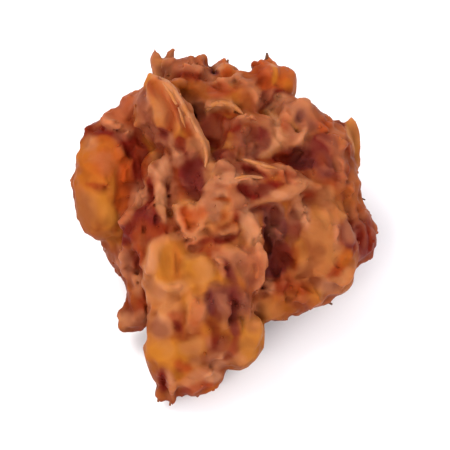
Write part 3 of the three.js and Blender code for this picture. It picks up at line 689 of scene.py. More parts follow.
lay([[24, 1], [24.2, -2], [23.8, -5.6]], 1.3, 0.7, tip=14, join=0.6, pale=0.7)
groove([[25.6, 0], [25.5, -2], [25.3, -4]], 0.9, 1.1, chilli=0.9)
groove([[26.6, -5.6], [25.6, -8.4], [23, -11.2]], 1, 0.5, join=1, carrot=0.6, chilli=0.35)
lay([[27.6, -8.4], [26, -11], [23.2, -13.4]], 1.8, 0.6, join=1, pale=0.3, ochre=0.4)
groove([[27.6, 6], [27.8, 1.6], [28.2, -3], [28, -7.4]], 1.2, 0.8, join=1, chilli=0.7)
stain([30.8, -2.2], [3.8, 7], edge=2.6, chilli=0.9, carrot=0.4)
streak([[31.4, 2.6], [32.6, -0.8], [32, -5]], 1.3, share=0.8, carrot=0.7, chilli=0.5)
lay([[12.6, -14.8], [15.4, -13.4], [18.4, -13.8]], 1.8, 0.7, join=1, chilli=0.3, pale=0.2)
stain([16.6, -17], [5, 2], share=0.7, chilli=0.3, carrot=0.4, pale=0.2)
stain([22.4, 6], [2.6, 2.6], ochre=0.5, pale=0.5)
stain([26.4, -2], [2.2, 4.2], edge=2.4, chilli=0.4, carrot=0.3)
stain([22.6, -13.4], [3, 2], pale=0.7, ochre=0.2)
stain([12, -18.4], [2.6, 2.2], ochre=0.5, carrot=0.4)
stain([15.6, -0.6], [1.9, 4.6], spin=-4, edge=2.2, chilli=0.6, onion=0.2, pale=0.1)
stain([15.8, -7.4], [2, 3.6], edge=2, chilli=0.35, carrot=0.3)
stain([26.9, -2.2], [1.9, 3.8], edge=4, chilli=1, onion=0.4)
stain([26.2, -7.4], [1.8, 2.4], spin=-30, edge=2, ochre=0.5, carrot=0.4)
stain([21.6, -3], [3.2, 5.4], edge=2, ochre=0.45, onion=0.1, pale=0.25)
stain([16.6, -14.4], [4, 1.8], edge=2, chilli=0.3, carrot=0.45)
streak([[24.1, 0.6], [24.3, -2], [23.9, -5]], 0.9, pale=0.6)
stain([30, 3], [2.4, 2.4], edge=2, chilli=0.5, carrot=0.4, pale=0.1)

# ---- The front lobe ----
# The thickest part, nearest the plate: a rolled pocket of golden onion on the left, wrinkled red
# onion down its middle, a pale rib down the right, and two burnt points at its foot.

lump([-4.4, -17, 3.6], [11, 18, 11], spin=-17, ochre=0.3)
lump([-11.6, -9, 7], [5, 7.6, 6.4], ochre=0.9)
lump([-10.6, -20, 7.2], [6, 5.8, 6.6], ochre=0.6, carrot=0.3, pale=0.3)
lump([-11, -28, 5.4], [6.6, 6, 7], ochre=1)
lump([-7, -32.2, 3.4], [7.4, 5.7, 6.5], ochre=0.3, carrot=0.3)
lump([-12.3, -31.4, 4.2], [3.7, 4.8, 5.6], ochre=0.8)
lump([3.2, -24, 5], [5.4, 5.8, 7], ochre=0.9)
lump([2.8, -27.4, 4], [5.6, 4.4, 6.5], spin=30, ochre=0.8)
lump([5.2, -7, 6.8], [3.4, 9, 6.2], pale=0.5, carrot=0.4)
lump([1, -12, 7], [5.4, 9.6, 6.4], onion=0.3, carrot=0.2)
lump([1.6, -6.2, 8.6], [4.8, 3.6, 5.2], pale=0.6, carrot=0.35, chilli=0.15)
strip([[-13.4, -34, 3.4], [-14.2, -36.4, 3.6], [-14.6, -38.6, 3.8]], 1.7, 2.6, blunt=3, onion=0.4,
      chilli=0.5)
strip([[-10.8, -35, 4], [-11.6, -37.4, 4], [-11.9, -39.3, 4]], 1.3, 2, blunt=3, onion=0.7,
      chilli=0.2)
dent([-12.2, -8.4], [1.8, 4.6], 1.7, spin=-3, join=1.6, ochre=1, onion=0.2, carrot=0.15)
groove([[-10.4, -5.4], [-10.2, -8.6], [-10.8, -12]], 1, 1.1, join=0.6, ochre=0.8, carrot=0.35,
       onion=0.2)
lay([[-10.6, -2.8], [-13, -3.4], [-15, -5.4], [-15.8, -9.2], [-15.9, -13.4], [-15.2, -17]], 2.6,
    1.4, thick=4.4, tip=4, join=0.9, ochre=1, pale=0.9)
lump([-13.4, -14.8, 6.2], [3.6, 4.8, 5.6], spin=-6, join=2.4, ochre=0.7, pale=0.9)
lay([[-13.8, -14], [-11.4, -13.8], [-9, -13.2]], 1.4, 1, join=0.6, ochre=1, pale=0.7)
lay([[-15.4, -18.6], [-16, -22.6], [-16.4, -27]], 2.4, 0.6, join=1.2, ochre=0.7, pale=0.4)
lump([-5.6, -10, 10.4], [4.2, 3.2, 3.6], spin=10, ochre=1, pale=0.2)
stain([-5.6, -10.2], [4.4, 3.6], edge=2.4, ochre=1, pale=0.3)
stain([-8, -12.8], [2.2, 1.6], ochre=1, pale=0.2)
stain([-7, -10], [3.6, 2.8], edge=2, ochre=0.9, onion=0.2)
streak([[-9.2, -7.2], [-6.4, -6.8], [-3.4, -7.4]], 1.3, share=0.7, ochre=0.8, pale=0.4)
stain([-6.4, -4.4], [2.4, 1.8], carrot=0.5, pale=0.3, chilli=0.15)
stain([-12.4, -18.4], [3.6, 4.2], share=0.8, ochre=0.6, pale=0.5)
lay([[-8, -15], [-6.8, -17.6], [-6.4, -21.4], [-7.2, -24.6]], 2, 0.9, join=0.9, ochre=0.5,
    carrot=0.2, pale=0.5)
stain([-10.6, -20.6], [2.4, 1.8], share=0.8, carrot=0.8, pale=0.2)
dent([-10.4, -22.5], [0.9, 0.8], 0.3, join=1, chilli=0.5)
stain([-13.4, -27.6], [2.8, 2.4], ochre=1.1, pale=0.2, onion=0.08)
stain([-14, -22.4], [2.8, 3.2], edge=2.2, ochre=0.9, pale=0.7)
stain([-5.8, -20], [2, 4.4], share=0.8, carrot=0.5, chilli=0.25, pale=0.1)
stain([-6, -26.4], [2.4, 2.2], ochre=0.9, pale=0.4)
stain([-1.6, -29.6], [3.6, 2.4], edge=2.2, pale=1, ochre=0.4)
stain([2.4, -29.6], [2.6, 2], edge=2.2, ochre=0.6, pale=0.4)
stain([-13.4, -33.6], [2.8, 2.6], edge=2, pale=1)
stain([-6, -30], [2.4, 2], share=0.8, ochre=0.5, pale=0.5)
stain([-10.4, -14], [2.6, 1.8], ochre=0.9, pale=0.6)
stain([-14.4, -14.4], [2.4, 3], edge=2, ochre=1, pale=0.7)
stain([-16, -9], [1.4, 6], edge=2, ochre=1.2, pale=0.8)
stain([-7.6, -27.6], [3.4, 2], edge=2, ochre=1, pale=0.35)
streak([[-11, -29.4], [-9.6, -31], [-7, -31.4]], 1.8, share=0.8, carrot=0.6, chilli=0.25)
groove([[-13.6, -32.4], [-13.6, -34], [-14, -36]], 1.4, 0.9, chilli=0.95)
lay([[-12, -32.6], [-11.6, -35], [-12, -37]], 1.2, 0.7, join=0.6, pale=0.7)
lay([[-9.2, -35], [-7, -33.4], [-4, -32.2], [-1, -31.6]], 1.9, 0.8, join=0.8, pale=0.9)
streak([[-9.4, -36.6], [-5.6, -35.6], [-2, -34.4]], 1.8, carrot=0.6, chilli=0.35)
lay([[4.8, 2.8], [6.6, -0.8], [7.4, -5.2], [7.4, -10.4], [7.2, -15.4]], 2.3, 1.1, thick=4.4,
    tip=10, join=0.8, pale=0.8, carrot=0.35)
stain([3.6, -6.6], [3.6, 3], share=0.8, pale=0.4, carrot=0.35, chilli=0.25)
stain([5.8, -10.4], [2.8, 3], edge=2.2, chilli=0.65, onion=0.15, pale=0.2)
stain([6.4, -2], [2.2, 2.4], pale=1)
stain([-2, -6], [2.2, 1.6], share=0.7, chilli=0.4, carrot=0.3)
stain([-2.4, -26], [2.2, 2.2], edge=2, share=0.8, pale=0.5, chilli=0.3)
stain([-2.6, -33.6], [3, 1.4], spin=14, edge=2, pale=1.1)
stain([-14.6, -1], [3.4, 2], spin=10, edge=2.4, chilli=0.45, carrot=0.3)
stain([-18.4, -1.4], [3.2, 4.2], edge=2.2, chilli=0.5, carrot=0.3, onion=0.1)
stain([-18.8, -6.4], [2, 2.8], edge=2, chilli=0.3, carrot=0.3)
stain([2.4, -6.2], [2.6, 2.4], share=0.8, chilli=0.3, onion=0.2, pale=0.4)
stain([-2.2, -14], [2.2, 2.2], edge=2, share=0.9, onion=0.5, chilli=0.3, pale=0.2)
stain([6.4, -18.4], [2, 2.4], share=0.8, pale=0.5, carrot=0.4)
lay([[-1.4, -6.6], [-0.6, -9], [0.6, -11.8]], 1.4, 0.9, tip=16, join=0.6, pale=0.7, chilli=0.2)
groove([[0.4, -8], [1.2, -10.8], [2.2, -13.2]], 1, 0.9, chilli=0.8, onion=0.4)
stain([0.4, -17], [5, 5.4], edge=2, onion=0.8, chilli=0.15)
lay([[-1, -14.4], [-0.8, -17.2], [-0.6, -20.6], [-1.2, -23.6]], 1.7, 1, tip=12, join=0.6,
    onion=0.7, pale=0.25)
lay([[3.8, -14.6], [4.3, -17.6], [3.8, -21]], 2.4, 1, join=0.8, onion=0.8, pale=0.25)
groove([[1.4, -13.8], [1.5, -17.6], [1.2, -21.6], [2.2, -24.4]], 1.2, 1.1, chilli=0.8, onion=0.5)
groove([[-3.2, -14.4], [-3.4, -16.6], [-2.8, -19.2]], 1, 1, chilli=0.7, onion=0.8)
groove([[-3.4, -21], [-2.2, -23.6], [-2.4, -26.4]], 0.9, 0.6, chilli=0.6)
lay([[-4.6, -15.4], [-5, -18.2], [-4.4, -21]], 1.5, 0.7, join=0.8, onion=0.5, pale=0.3)
lay([[0.4, -24], [-0.6, -27], [-2.2, -29.6]], 1.8, 0.7, join=1, chilli=0.3, pale=0.3)
groove([[2.8, -24.6], [1.6, -27.4], [0, -29.6]], 0.9, 0.6, chilli=0.45, carrot=0.3)
lay([[3.2, -25], [2.4, -26.6], [1.6, -28]], 2, 1, thick=4, join=1.2, chilli=0.4, pale=0.3)
lay([[6.6, -19.6], [6.6, -23.6], [5.2, -27]], 2.4, 0.6, join=1.2, ochre=0.7, pale=0.3)
stain([5.6, -21.8], [2.6, 2.4], share=0.7, chilli=0.3, pale=0.35)
groove([[-1.8, -3.8], [0.6, -2.8], [3.4, -1.2]], 1.3, 1.2, chilli=1)
groove([[2.9, 2.4], [2.6, 0.6], [1, -0.6], [-1.2, -1.1]], 0.8, 0.6, chilli=0.6, carrot=0.2)
dent([0.1, 2.2], [0.6, 0.7], 0.4, join=0.7, chilli=0.3, carrot=0.5)
groove([[6.2, 3.1], [7.6, 3.2], [9.2, 3]], 0.8, 0.6, chilli=0.6, onion=0.3)
stain([-2.2, 3.6], [1.6, 2.6], edge=2, pale=1, ochre=0.2)
stain([5.2, 0.8], [2, 2.6], edge=2, pale=0.8)
lay([[-0.8, -2.1], [1.2, -1.3], [3.2, -0.3]], 0.9, 0.5, join=0.6, pale=0.8, onion=0.1)
groove([[-5.6, -6], [-4.4, -4.2], [-2.4, -3.2]], 0.9, 0.7, chilli=0.7, carrot=0.2)
stain([-12.4, -8.4], [2, 4.4], edge=2.2, ochre=1, onion=0.2, carrot=0.1)
stain([7.2, -9], [1.8, 4], edge=2, pale=0.25, carrot=0.3, chilli=0.35)
stain([-6, -18], [1.8, 3.2], edge=2, carrot=0.4, chilli=0.2, pale=0.2, ochre=0.2)
stain([-14, -22.6], [3.2, 3], edge=2.4, ochre=0.9, pale=0.8)
stain([-13.6, -27.6], [3.2, 2.4], edge=2, ochre=1, onion=0.14)
stain([4.6, -26], [2.6, 3.2], edge=2, ochre=0.8, onion=0.15, pale=0.15)
stain([-1.8, 2], [1.6, 1.4], pale=1, ochre=0.1)
stain([-15.8, -12.4], [1.8, 2.8], edge=2.4, ochre=1.1, pale=0.45)
stain([-10, -2.4], [1.6, 1.2], pale=0.5, ochre=0.4)
lay([[1.9, -20.2], [2.2, -22.4], [2.5, -24.8]], 1.9, 1, join=1.2, chilli=0.5, onion=0.4)

# ---- The deep gap ----
# The front lobe stands off from the right one: the gap between them is deep, and the onion in it
# has gone nearly black.

lump([11.6, -13.4, 3.4], [3.6, 4.6, 4.4], chilli=0.4, carrot=0.4)
lump([9.4, -18.2, 2], [3.4, 3.6, 4.4], ochre=0.5, pale=0.4)
dent([11.4, -0.8], [2.5, 4.6], 2.7, join=1.2, onion=1, chilli=0.3)
dent([11.6, -6.8], [1.9, 4.6], 1.6, spin=-2, join=1.2, chilli=0.85, onion=0.6)
stain([11.4, -0.4], [3.2, 5.2], edge=2.6, onion=1, chilli=0.3)
stain([12.8, -6.6], [4, 4.6], edge=2, chilli=0.95, onion=0.35)
stain([13.4, -13.6], [3.2, 3], chilli=0.6, carrot=0.3)
stain([9.8, -14], [2, 2.4], edge=2, pale=0.6, chilli=0.3)
groove([[9.2, 3], [9.4, -2], [9.6, -7], [9.8, -12]], 1.1, 1.1, onion=0.9, chilli=0.6)
streak([[9.4, 4.6], [11.6, 4.4], [13.6, 3]], 1.2, onion=0.8, pale=0.25)
lay([[10.2, -0.2], [11.8, -0.8], [12.6, -2.6]], 1.4, 0.9, onion=0.8, pale=0.15)

# ---- The shreds ----
# Thin cuts of onion, carrot and pepper lie all over the back and the sides, held flat by the
# batter, with one end standing a little proud.

SHRED_REACH = 1.4  # the step from one bend of a shred to the next
shred_random = np.random.default_rng(5)
SHRED_KINDS = (  # share, half length, width, thickness, tint
    (0.45, (3.5, 7.5), (1.8, 3.2), 1.3, dict(onion=0.7, pale=0.2)),
    (0.22, (3.5, 8.0), (1.4, 2.2), 1.4, dict(carrot=0.9)),
    (0.33, (2.0, 5.0), (2.0, 3.6), 1.6, dict(ochre=0.7)),
)
SHREDS, SHREDS_APART = 150, 5.2
FACING_BACK = 0.5  # shreds only lie where the skin turns at least this much from the face,
BEHIND_FACE, OFF_TABLE = 14, 3  # this far behind it, and this far above the table
MOST_BEND, MOST_LIFT = 0.12, 0.7  # at each step, and of the end that stands proud
MOST_SETTLE = 1.2  # how far a point of a shred moves at most to come to lie on the skin

near = np.argwhere(np.abs(skin) < 0.5 * CELL).astype(float)
shred_random.shuffle(near)
out = slope_at(near)
shown = out @ face_axes[2]
height = block_low[2] + CELL * near[:, 2]
behind = (near * CELL + block_low - FACE_ORIGIN) @ face_axes[2]
keep = (shown < -FACING_BACK) & (behind < -BEHIND_FACE) & (height > OFF_TABLE)
settled = []
for cell in near[keep]:
    if all(np.linalg.norm(cell - other) * CELL > SHREDS_APART for other in settled):
        settled.append(cell)
    if len(settled) == SHREDS:
        break
for cell in settled:
    kind = shred_random.choice(len(SHRED_KINDS), p=[share for share, *_ in SHRED_KINDS])
    _, reach, widths, thick, tint = SHRED_KINDS[kind]
    up = slope_at(cell[None])[0]
    heading = unit(np.cross(up, shred_random.standard_normal(3)))
    half = shred_random.uniform(*reach)
    bend = shred_random.uniform(-MOST_BEND, MOST_BEND)
    lift = shred_random.uniform(0.0, MOST_LIFT)
    halves = []
    for way in (-1, 1):
        at, ahead, side = cell * CELL + block_low, way * heading, []
        for k in range(max(2, round(half / SHRED_REACH))):
            at = at + SHRED_REACH * ahead
            spot = ((at - block_low) / CELL)[None]
            up = slope_at(spot)[0]
            at = at - up * np.clip(depth_at(spot)[0], -MOST_SETTLE, MOST_SETTLE)
            ahead = unit(ahead - up * (ahead @ up) + bend * np.cross(up, ahead))
            side.append(at + up * (lift * k / 4 if way > 0 else 0.0))
        halves.append(side)
    strip(np.array([*halves[0][::-1], cell * CELL + block_low, *halves[1]]),
          shred_random.uniform(*widths), thick, blunt=3, join=0.7, frame_of=LEVEL, **tint)

# ---- The crust ----
# The batter's own skin: fine wrinkles where it dried on the slices, blisters where it boiled,
# and a flat where the clump rests. Ridges get a painted highlight, creases and hollows painted shade.

FOLDS = ((4.6, 0.30), (2.2, 0.26))  # step and depth of the creases between swollen patches
EDGES = ((3.2, 0.36), (1.5, 0.26))  # step and height of the sharp crests where it dried
BLISTER_STEP, BLISTER_RISE, BLISTER_RARE = 1.9, 0.14, 0.9
MEAN_FOLD = 0.8  # the mean of each fold, as a share of its depth
FLAKES = ((7.5, 0.7), (3.1, 0.35), (1.5, 0.12))  # step and share of the field that lays them out
FLAKE_RISE, FLAKE_EDGE = 0.5, 0.18  # flakes swell slowly, then end in a short torn edge
GOLDEN_SMOOTH = 0.85  # how much less rough the thick golden slices are
rough = 1 - GOLDEN_SMOOTH * np.clip(tints["ochre"], 0, 1)
for i, (step, depth) in enumerate(FOLDS):
    skin -= depth * rough * (np.abs(wander(step, 40 + i)) - MEAN_FOLD)
for i, (step, rise) in enumerate(EDGES):
    skin += rise * rough * (np.abs(wander(step, 45 + i)) - MEAN_FOLD)
flake = sum(share * wander(step, 70 + i) for i, (step, share) in enumerate(FLAKES)) % 1.0
skin -= FLAKE_RISE * rough * (np.minimum(flake / (1 - FLAKE_EDGE), (1 - flake) / FLAKE_EDGE) - 0.5)
skin -= BLISTER_RISE * np.maximum(wander(BLISTER_STEP, 50) - BLISTER_RARE, 0)
heights = (block_low[2] + CELL * np.arange(block_cells[2])).astype(np.float32)
np.maximum(skin, -heights.reshape(1, 1, -1), out=skin)
skin[[0, -1]] = skin[:, [0, -1]] = skin[:, :, [0, -1]] = FAR


def blurred(field, reach):
    """The field, averaged over about `reach` mm each way."""
    cells = max(1, round(reach / CELL))
    for axis in (0, 1, 2, 0, 1, 2):
        run = np.cumsum(np.moveaxis(field, axis, 0), axis=0, dtype=np.float32)
        mean = np.empty_like(run)
        mean[cells:-cells - 1] = run[2 * cells + 1:] - run[:-2 * cells - 1]
        mean[cells:-cells - 1] /= 2 * cells + 1
        mean[:cells], mean[-cells - 1:] = mean[cells], mean[-cells - 2]
        field = np.moveaxis(mean, 0, axis)
    return field


def sampled(field, cells):
    """The field's value at points given in cells."""
    low = np.clip(np.floor(cells).astype(int), 0, block_cells - 2)
    f = (cells - low).astype(np.float32)
    value = 0
    for corner in np.ndindex(2, 2, 2):
        weight = np.prod(np.where(corner, f, 1 - f), axis=1)
        value = value + weight * field[tuple((low + corner).T)]
    return value


def into_scene(name, data):
    thing = bpy.data.objects.new(name, data)
    bpy.context.scene.collection.objects.link(thing)
    return thing


def set_shape(thing):
    """Replaces an object's mesh by what its modifiers make of it."""
    old = thing.data
    shaped = bpy.data.meshes.new_from_object(
        thing.evaluated_get(bpy.context.evaluated_depsgraph_get()))
    thing.modifiers.clear()
    thing.data = shaped
    bpy.data.meshes.remove(old)


grid = openvdb.FloatGrid()
grid.background = FAR
grid.copyFromArray(skin)
corners, quads = grid.convertToQuads(0.0)
corners = corners.astype(np.float64)
quads = quads.astype(np.int64)

# Loose specks and sealed bubbles go, so that one skin is left.
group = np.arange(len(corners))
edges = np.concatenate([quads[:, [i, (i + 1) % 4]] for i in range(4)])
while True:
    lowest = np.minimum(group[edges[:, 0]], group[edges[:, 1]])
    joined = group.copy()
    np.minimum.at(joined, edges[:, 0], lowest)
    np.minimum.at(joined, edges[:, 1], lowest)
    joined = joined[joined]
    if (joined == group).all():
        break
    group = joined
names, counts = np.unique(group, return_counts=True)
kept = group == names[counts.argmax()]
renumber = np.cumsum(kept) - 1
quads = renumber[quads[kept[quads[:, 0]]]]
corners = corners[kept]

places = corners * CELL + block_low
a, b, c, d = (places[quads[:, i]] for i in range(4))
volume = np.einsum("ij,ij->", a, np.cross(b, c)) + np.einsum("ij,ij->", a, np.cross(c, d))
if volume < 0:
    quads = quads[:, ::-1]

CRUST_FACES = 190_000
crust_mesh = bpy.data.meshes.new("crust")
crust_mesh.from_pydata((places * MM).tolist(), [], quads.tolist())
crust = into_scene("pakora_crust", crust_mesh)
if 2 * len(quads) > CRUST_FACES:
    thin = crust.modifiers.new("thin", "DECIMATE")
    thin.ratio = CRUST_FACES / (2 * len(quads))
    set_shape(crust)
crust_mesh = crust.data
crust_mesh.shade_smooth()

points = np.zeros(3 * len(crust_mesh.vertices), np.float32)
crust_mesh.vertices.foreach_get("co", points)
cells = (points.reshape(-1, 3) / MM - block_low) / CELL
filled = np.clip(skin, -3, 3)
for name, values in (
    *((name, sampled(field, cells)) for name, field in tints.items()),
    ("patch", sampled(wander(3.4, 60), cells)),
    ("layer", sampled(wander(2.4, 61), cells)),
    # How deep each place lies in a hollow, about 2.6 mm across, or a fine crease, about 0.9 mm: the
    # material uses these for its painted shade in hollows and creases and its painted highlight on
    # ridges.
    ("hollow", -sampled(blurred(filled, 2.6), cells)),
    ("crease", -sampled(blurred(filled, 0.9), cells)),
):
    attribute = crust_mesh.attributes.new(name, "FLOAT", "POINT")
    attribute.data.foreach_set("value", values.astype(np.float32))


def give(socket, value):
    """Sets a socket, or links another socket to it."""
    if isinstance(value, bpy.types.NodeSocket):
        socket.id_data.links.new(value, socket)
    else:
        socket.default_value = value


def fill(node, **inputs):
    """Gives a node its inputs, each by its own name with _ for a space."""
    for name, value in inputs.items():
        give(node.inputs[name.replace("_", " ")], value)
    return node


def material_of(name, **inputs):
    """A new material with its shader's inputs filled: material, tree and shader."""
    material = bpy.data.materials.new(name)
    material.use_nodes = True
    tree = material.node_tree
    return material, tree, fill(tree.nodes["Principled BSDF"], **inputs)


def soft_mix(tree, factor, below, above):
    """A colour between two, each a colour or a socket."""
    mix = tree.nodes.new("ShaderNodeMix")
    mix.data_type = "RGBA"
    for i, value in ((0, factor), (6, below), (7, above)):  # where a mix of colours has them
        give(mix.inputs[i], value)
    return mix.outputs[2]


def ramped(tree, value, low, high, to_low=0.0, to_high=1.0):
    return fill(tree.nodes.new("ShaderNodeMapRange"), Value=value, From_Min=low, From_Max=high,
                To_Min=to_low, To_Max=to_high).outputs["Result"]


def mottle(tree, step, detail, seed):
    """Uneven patches about `step` mm across, on the piece's own coordinates."""
    shifted = fill(tree.nodes.new("ShaderNodeMapping"), Location=(seed, 0.7 * seed, 0.3 * seed),
                   Vector=tree.nodes.new("ShaderNodeTexCoord").outputs["Object"])
    return fill(tree.nodes.new("ShaderNodeTexNoise"), Scale=1 / (step * MM), Detail=detail,
                Vector=shifted.outputs["Vector"]).outputs["Fac"]


def patchy(tree, step, seed, low, high, below, above):
    """Two colours in uneven patches."""
    return soft_mix(tree, ramped(tree, mottle(tree, step, 2, seed), low, high), below, above)


def attribute_of(tree, name):
    node = tree.nodes.new("ShaderNodeAttribute")
    node.attribute_name = name
    return node.outputs["Fac"]


def coated(tree, colour, *coats):
    """A colour under coats of others, each as strong as an attribute makes it."""
    for name, low, high, share, paint in coats:
        colour = soft_mix(tree, ramped(tree, attribute_of(tree, name), low, high, 0, share),
                          colour, paint)
    return colour


FRIED = (0.217, 0.042, 0.0085, 1)
BROWNED = (0.142, 0.023, 0.005, 1)
GOLDEN = (0.345, 0.115, 0.009, 1)
CARROT = (0.300, 0.044, 0.005, 1)
CHILLI = (0.102, 0.0035, 0.002, 1)
ONION = (0.085, 0.016, 0.014, 1)
THIN_BATTER = (0.345, 0.132, 0.060, 1)
# Dark red: in random patches, and as a painted shade in the creases.
DARK_RED_AND_CREASE_SHADE = (0.080, 0.004, 0.001, 1)
# A painted shade, darkening the hollows.
PAINTED_HOLLOW_SHADE = (0.060, 0.004, 0.002, 1)
# A painted highlight, lightening the ridges.
PAINTED_RIDGE_HIGHLIGHT = (0.400, 0.155, 0.065, 1)

fried, tree, surface = material_of(
    "fried_batter", Subsurface_Weight=0.3, Subsurface_Radius=(1.0, 0.35, 0.12),
    Subsurface_Scale=1.6 * MM, IOR=1.45, Specular_IOR_Level=0.06, Specular_Tint=(1.0, 0.7, 0.5, 1))
colour = coated(
    tree, patchy(tree, 7, 3.1, 0.42, 0.62, FRIED, BROWNED),
    # attribute, where its coat starts and where it is full, how much of it there is, and colour
    ("patch", 0.4, 1.6, 0.7, CHILLI),
    ("patch", -0.4, -1.6, 0.6, GOLDEN),
    ("ochre", 0.0, 0.8, 0.95, GOLDEN),
    ("carrot", 0.0, 0.8, 0.95, CARROT),
    ("chilli", 0.0, 0.8, 0.9, CHILLI),
    ("onion", 0.0, 0.8, 0.85, ONION),
    ("pale", 0.0, 0.8, 0.85, THIN_BATTER),
    ("layer", 0.5, 1.8, 0.2, THIN_BATTER),
    ("layer", -0.5, -1.8, 0.45, DARK_RED_AND_CREASE_SHADE),
    # painted highlight: convex ridges painted lighter
    ("crease", -0.8, -1.8, 0.25, PAINTED_RIDGE_HIGHLIGHT))
# A painted highlight: the colour is made up to 1.22 times as bright on the ridges.
painted_crest_highlight = fill(tree.nodes.new("ShaderNodeHueSaturation"), Color=colour,
             Value=ramped(tree, attribute_of(tree, "crease"), -0.4, -1.6, 1.0, 1.22))
grain = fill(tree.nodes.new("ShaderNodeBump"), Strength=0.35, Distance=0.15 * MM,
             Height=mottle(tree, 0.7, 3, 1.4))
fill(surface,
     # painted shade: creases painted dark red, hollows painted darker
     Base_Color=coated(tree, painted_crest_highlight.outputs["Color"], ("crease", -0.1, 0.7, 0.58, DARK_RED_AND_CREASE_SHADE),
                       # painted shade: the deeper a hollow, the darker it is painted
                       ("hollow", 0.3, 1.5, 0.32, PAINTED_HOLLOW_SHADE)),
     Roughness=ramped(tree, mottle(tree, 2, 2, 5.5), 0.3, 0.7, 0.4, 0.62),
     Normal=grain.outputs["Normal"])
crust_mesh.materials.append(fried)
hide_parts("pakora")
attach(crust, "root")

# ---- The strands ----
# Thin slivers of onion that lie over the face, half sunk in the batter. Their edges fried pale
# and crisp.

STRAND_SIDES = 8
STRAND_DEPTH = 1.3
STRAND_SUNK = 0.3  # how far its middle lies under the batter
STRAND_END = 0.2  # how full it is at its ends
STRANDS = (  # width, and points across the face and up it
    (1.2, [[-14.8, 32.4], [-12.8, 31.4], [-10.8, 28.8], [-8.8, 25.4], [-6.8, 21.8], [-5, 18.4],
           [-4.0, 15.2], [-4.4, 12]]),
    (0.9, [[-13.6, 31.0], [-11.6, 28.2], [-10.0, 24.6], [-8.6, 21]]),
    (1.2, [[-4.4, 25], [-3, 26.4], [-0.6, 27], [2, 26.2], [4, 24.4]]),
    (0.8, [[1.4, 9.8], [3.6, 10.4], [6.4, 10.5], [9, 10.2]]),
    (0.9, [[3.6, 14.5], [5.6, 13.9], [8.6, 12.9], [12, 12.2]]),
)


def sliver(path, wide, depth, girth):
    """A thin round piece along a path, `girth` giving its fullness from end to end."""
    _, side, out = running(path, face_axes[2])
    turn = 2 * math.pi * np.arange(STRAND_SIDES) / STRAND_SIDES
    ring = (np.cos(turn)[:, None] * side[:, None] * wide / 2
            + np.sin(turn)[:, None] * out[:, None] * depth / 2)
    rings = path[:, None] + girth[:, None, None] * ring
    points = np.concatenate([rings.reshape(-1, 3), path[:1], path[-1:]])
    faces, last = [], STRAND_SIDES * (len(path) - 1)
    for j in range(STRAND_SIDES):
        k = (j + 1) % STRAND_SIDES
        for i in range(0, last, STRAND_SIDES):
            faces.append((i + j, i + k, i + STRAND_SIDES + k, i + STRAND_SIDES + j))
        faces.append((len(points) - 2, k, j))
        faces.append((len(points) - 1, last + j, last + k))
    return points, faces


def gathered(slivers, name):
    """One object that holds all of the slivers."""
    all_points, all_faces = [], []
    for points, faces in slivers:
        all_faces += [tuple(i + len(all_points) for i in face) for face in faces]
        all_points += (points * MM).tolist()
    mesh = bpy.data.meshes.new(name)
    mesh.from_pydata(all_points, [], all_faces)
    mesh.shade_smooth()
    return into_scene(name, mesh)


def strand(points, wide):
    """A sliver that follows the face, blunt at both ends."""
    flat = smooth_path(np.array(points, float))
    rise = np.array([skin_over(*at) for at in flat])
    rise = np.convolve(np.pad(rise, 1, "edge"), (0.25, 0.5, 0.25), "valid") - STRAND_SUNK
    path = FACE_ORIGIN + np.column_stack([flat, rise]) @ face_axes
    girth = np.sqrt(1 + STRAND_END**2 - np.linspace(-1, 1, len(path)) ** 4)
    return sliver(path, wide, STRAND_DEPTH, girth)


strands = gathered([strand(line, wide) for wide, line in STRANDS], "onion_strands")

STRAND_PALE = (0.380, 0.145, 0.060, 1)
STRAND_GOLD = (0.340, 0.110, 0.025, 1)
onion, tree, surface = material_of(
    "fried_onion", Subsurface_Weight=0.4, Subsurface_Radius=(1.0, 0.5, 0.25),
    Subsurface_Scale=0.8 * MM, Roughness=0.5, Specular_IOR_Level=0.14)
fill(surface, Base_Color=patchy(tree, 2.5, 7.7, 0.4, 0.6, STRAND_PALE, STRAND_GOLD))
strands.data.materials.append(onion)
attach(strands, "root")

# ---- The loose ends ----
# Fibres of onion that stood out of the batter, so thin that they burnt dark in the oil. Each is
# rooted in the crust and tapers to its tip.

TIP_SHARE = 0.3  # how thick a tip is, as a share of its root
BURNT_DARK = (0.060, 0.020, 0.008, 1)
BURNT_BROWN = (0.170, 0.055, 0.018, 1)
LOOSE_ENDS = (  # width, and points across the face, up it and out of it
    (1.0, [[27.6, 7.4, -8.6], [29.6, 6.4, -9.2], [31.7, 5.7, -9.4]]),
    (1.2, [[-13.6, 35.2, -7.6], [-13.0, 37.2, -8.2], [-12.2, 39.3, -8.6]]),
    (1.4, [[20.4, -15.2, -3.6], [22.2, -16.6, -3.8], [24.0, -17.8, -4.2]]),
    (1.4, [[-23.6, -4.8, -4.4], [-25.4, -5.4, -4.8], [-26.8, -5.8, -5.4]]),
    (1.5, [[9.2, 35.6, -9], [9.4, 37.2, -9.2], [9.5, 38.9, -9.4]]),
    (1.5, [[6.9, 33.8, -8.4], [6.7, 35.2, -8.6], [6.4, 36.6, -8.8]]),
    (1.3, [[0.2, 34.8, -8.8], [0.4, 36.2, -9], [0.7, 37.4, -9.2]]),
    (1.5, [[-14.0, -36, 3.2], [-14.4, -37.6, 3.4], [-14.8, -39.1, 3.6]]),
    (1.3, [[-11.4, -36.6, 3.8], [-11.8, -38.2, 3.8], [-12.2, -39.9, 3.9]]),
    (1.3, [[28.8, 21.6, -11.6], [28.9, 23, -11.8], [28.6, 24.4, -12]]),
)


def loose_end(points, wide):
    """A sliver through points in the open, thick at its root and thin at its tip."""
    path = smooth_path(FACE_ORIGIN + np.array(points, float) @ face_axes)
    return sliver(path, wide, wide, np.linspace(1.0, TIP_SHARE, len(path)))


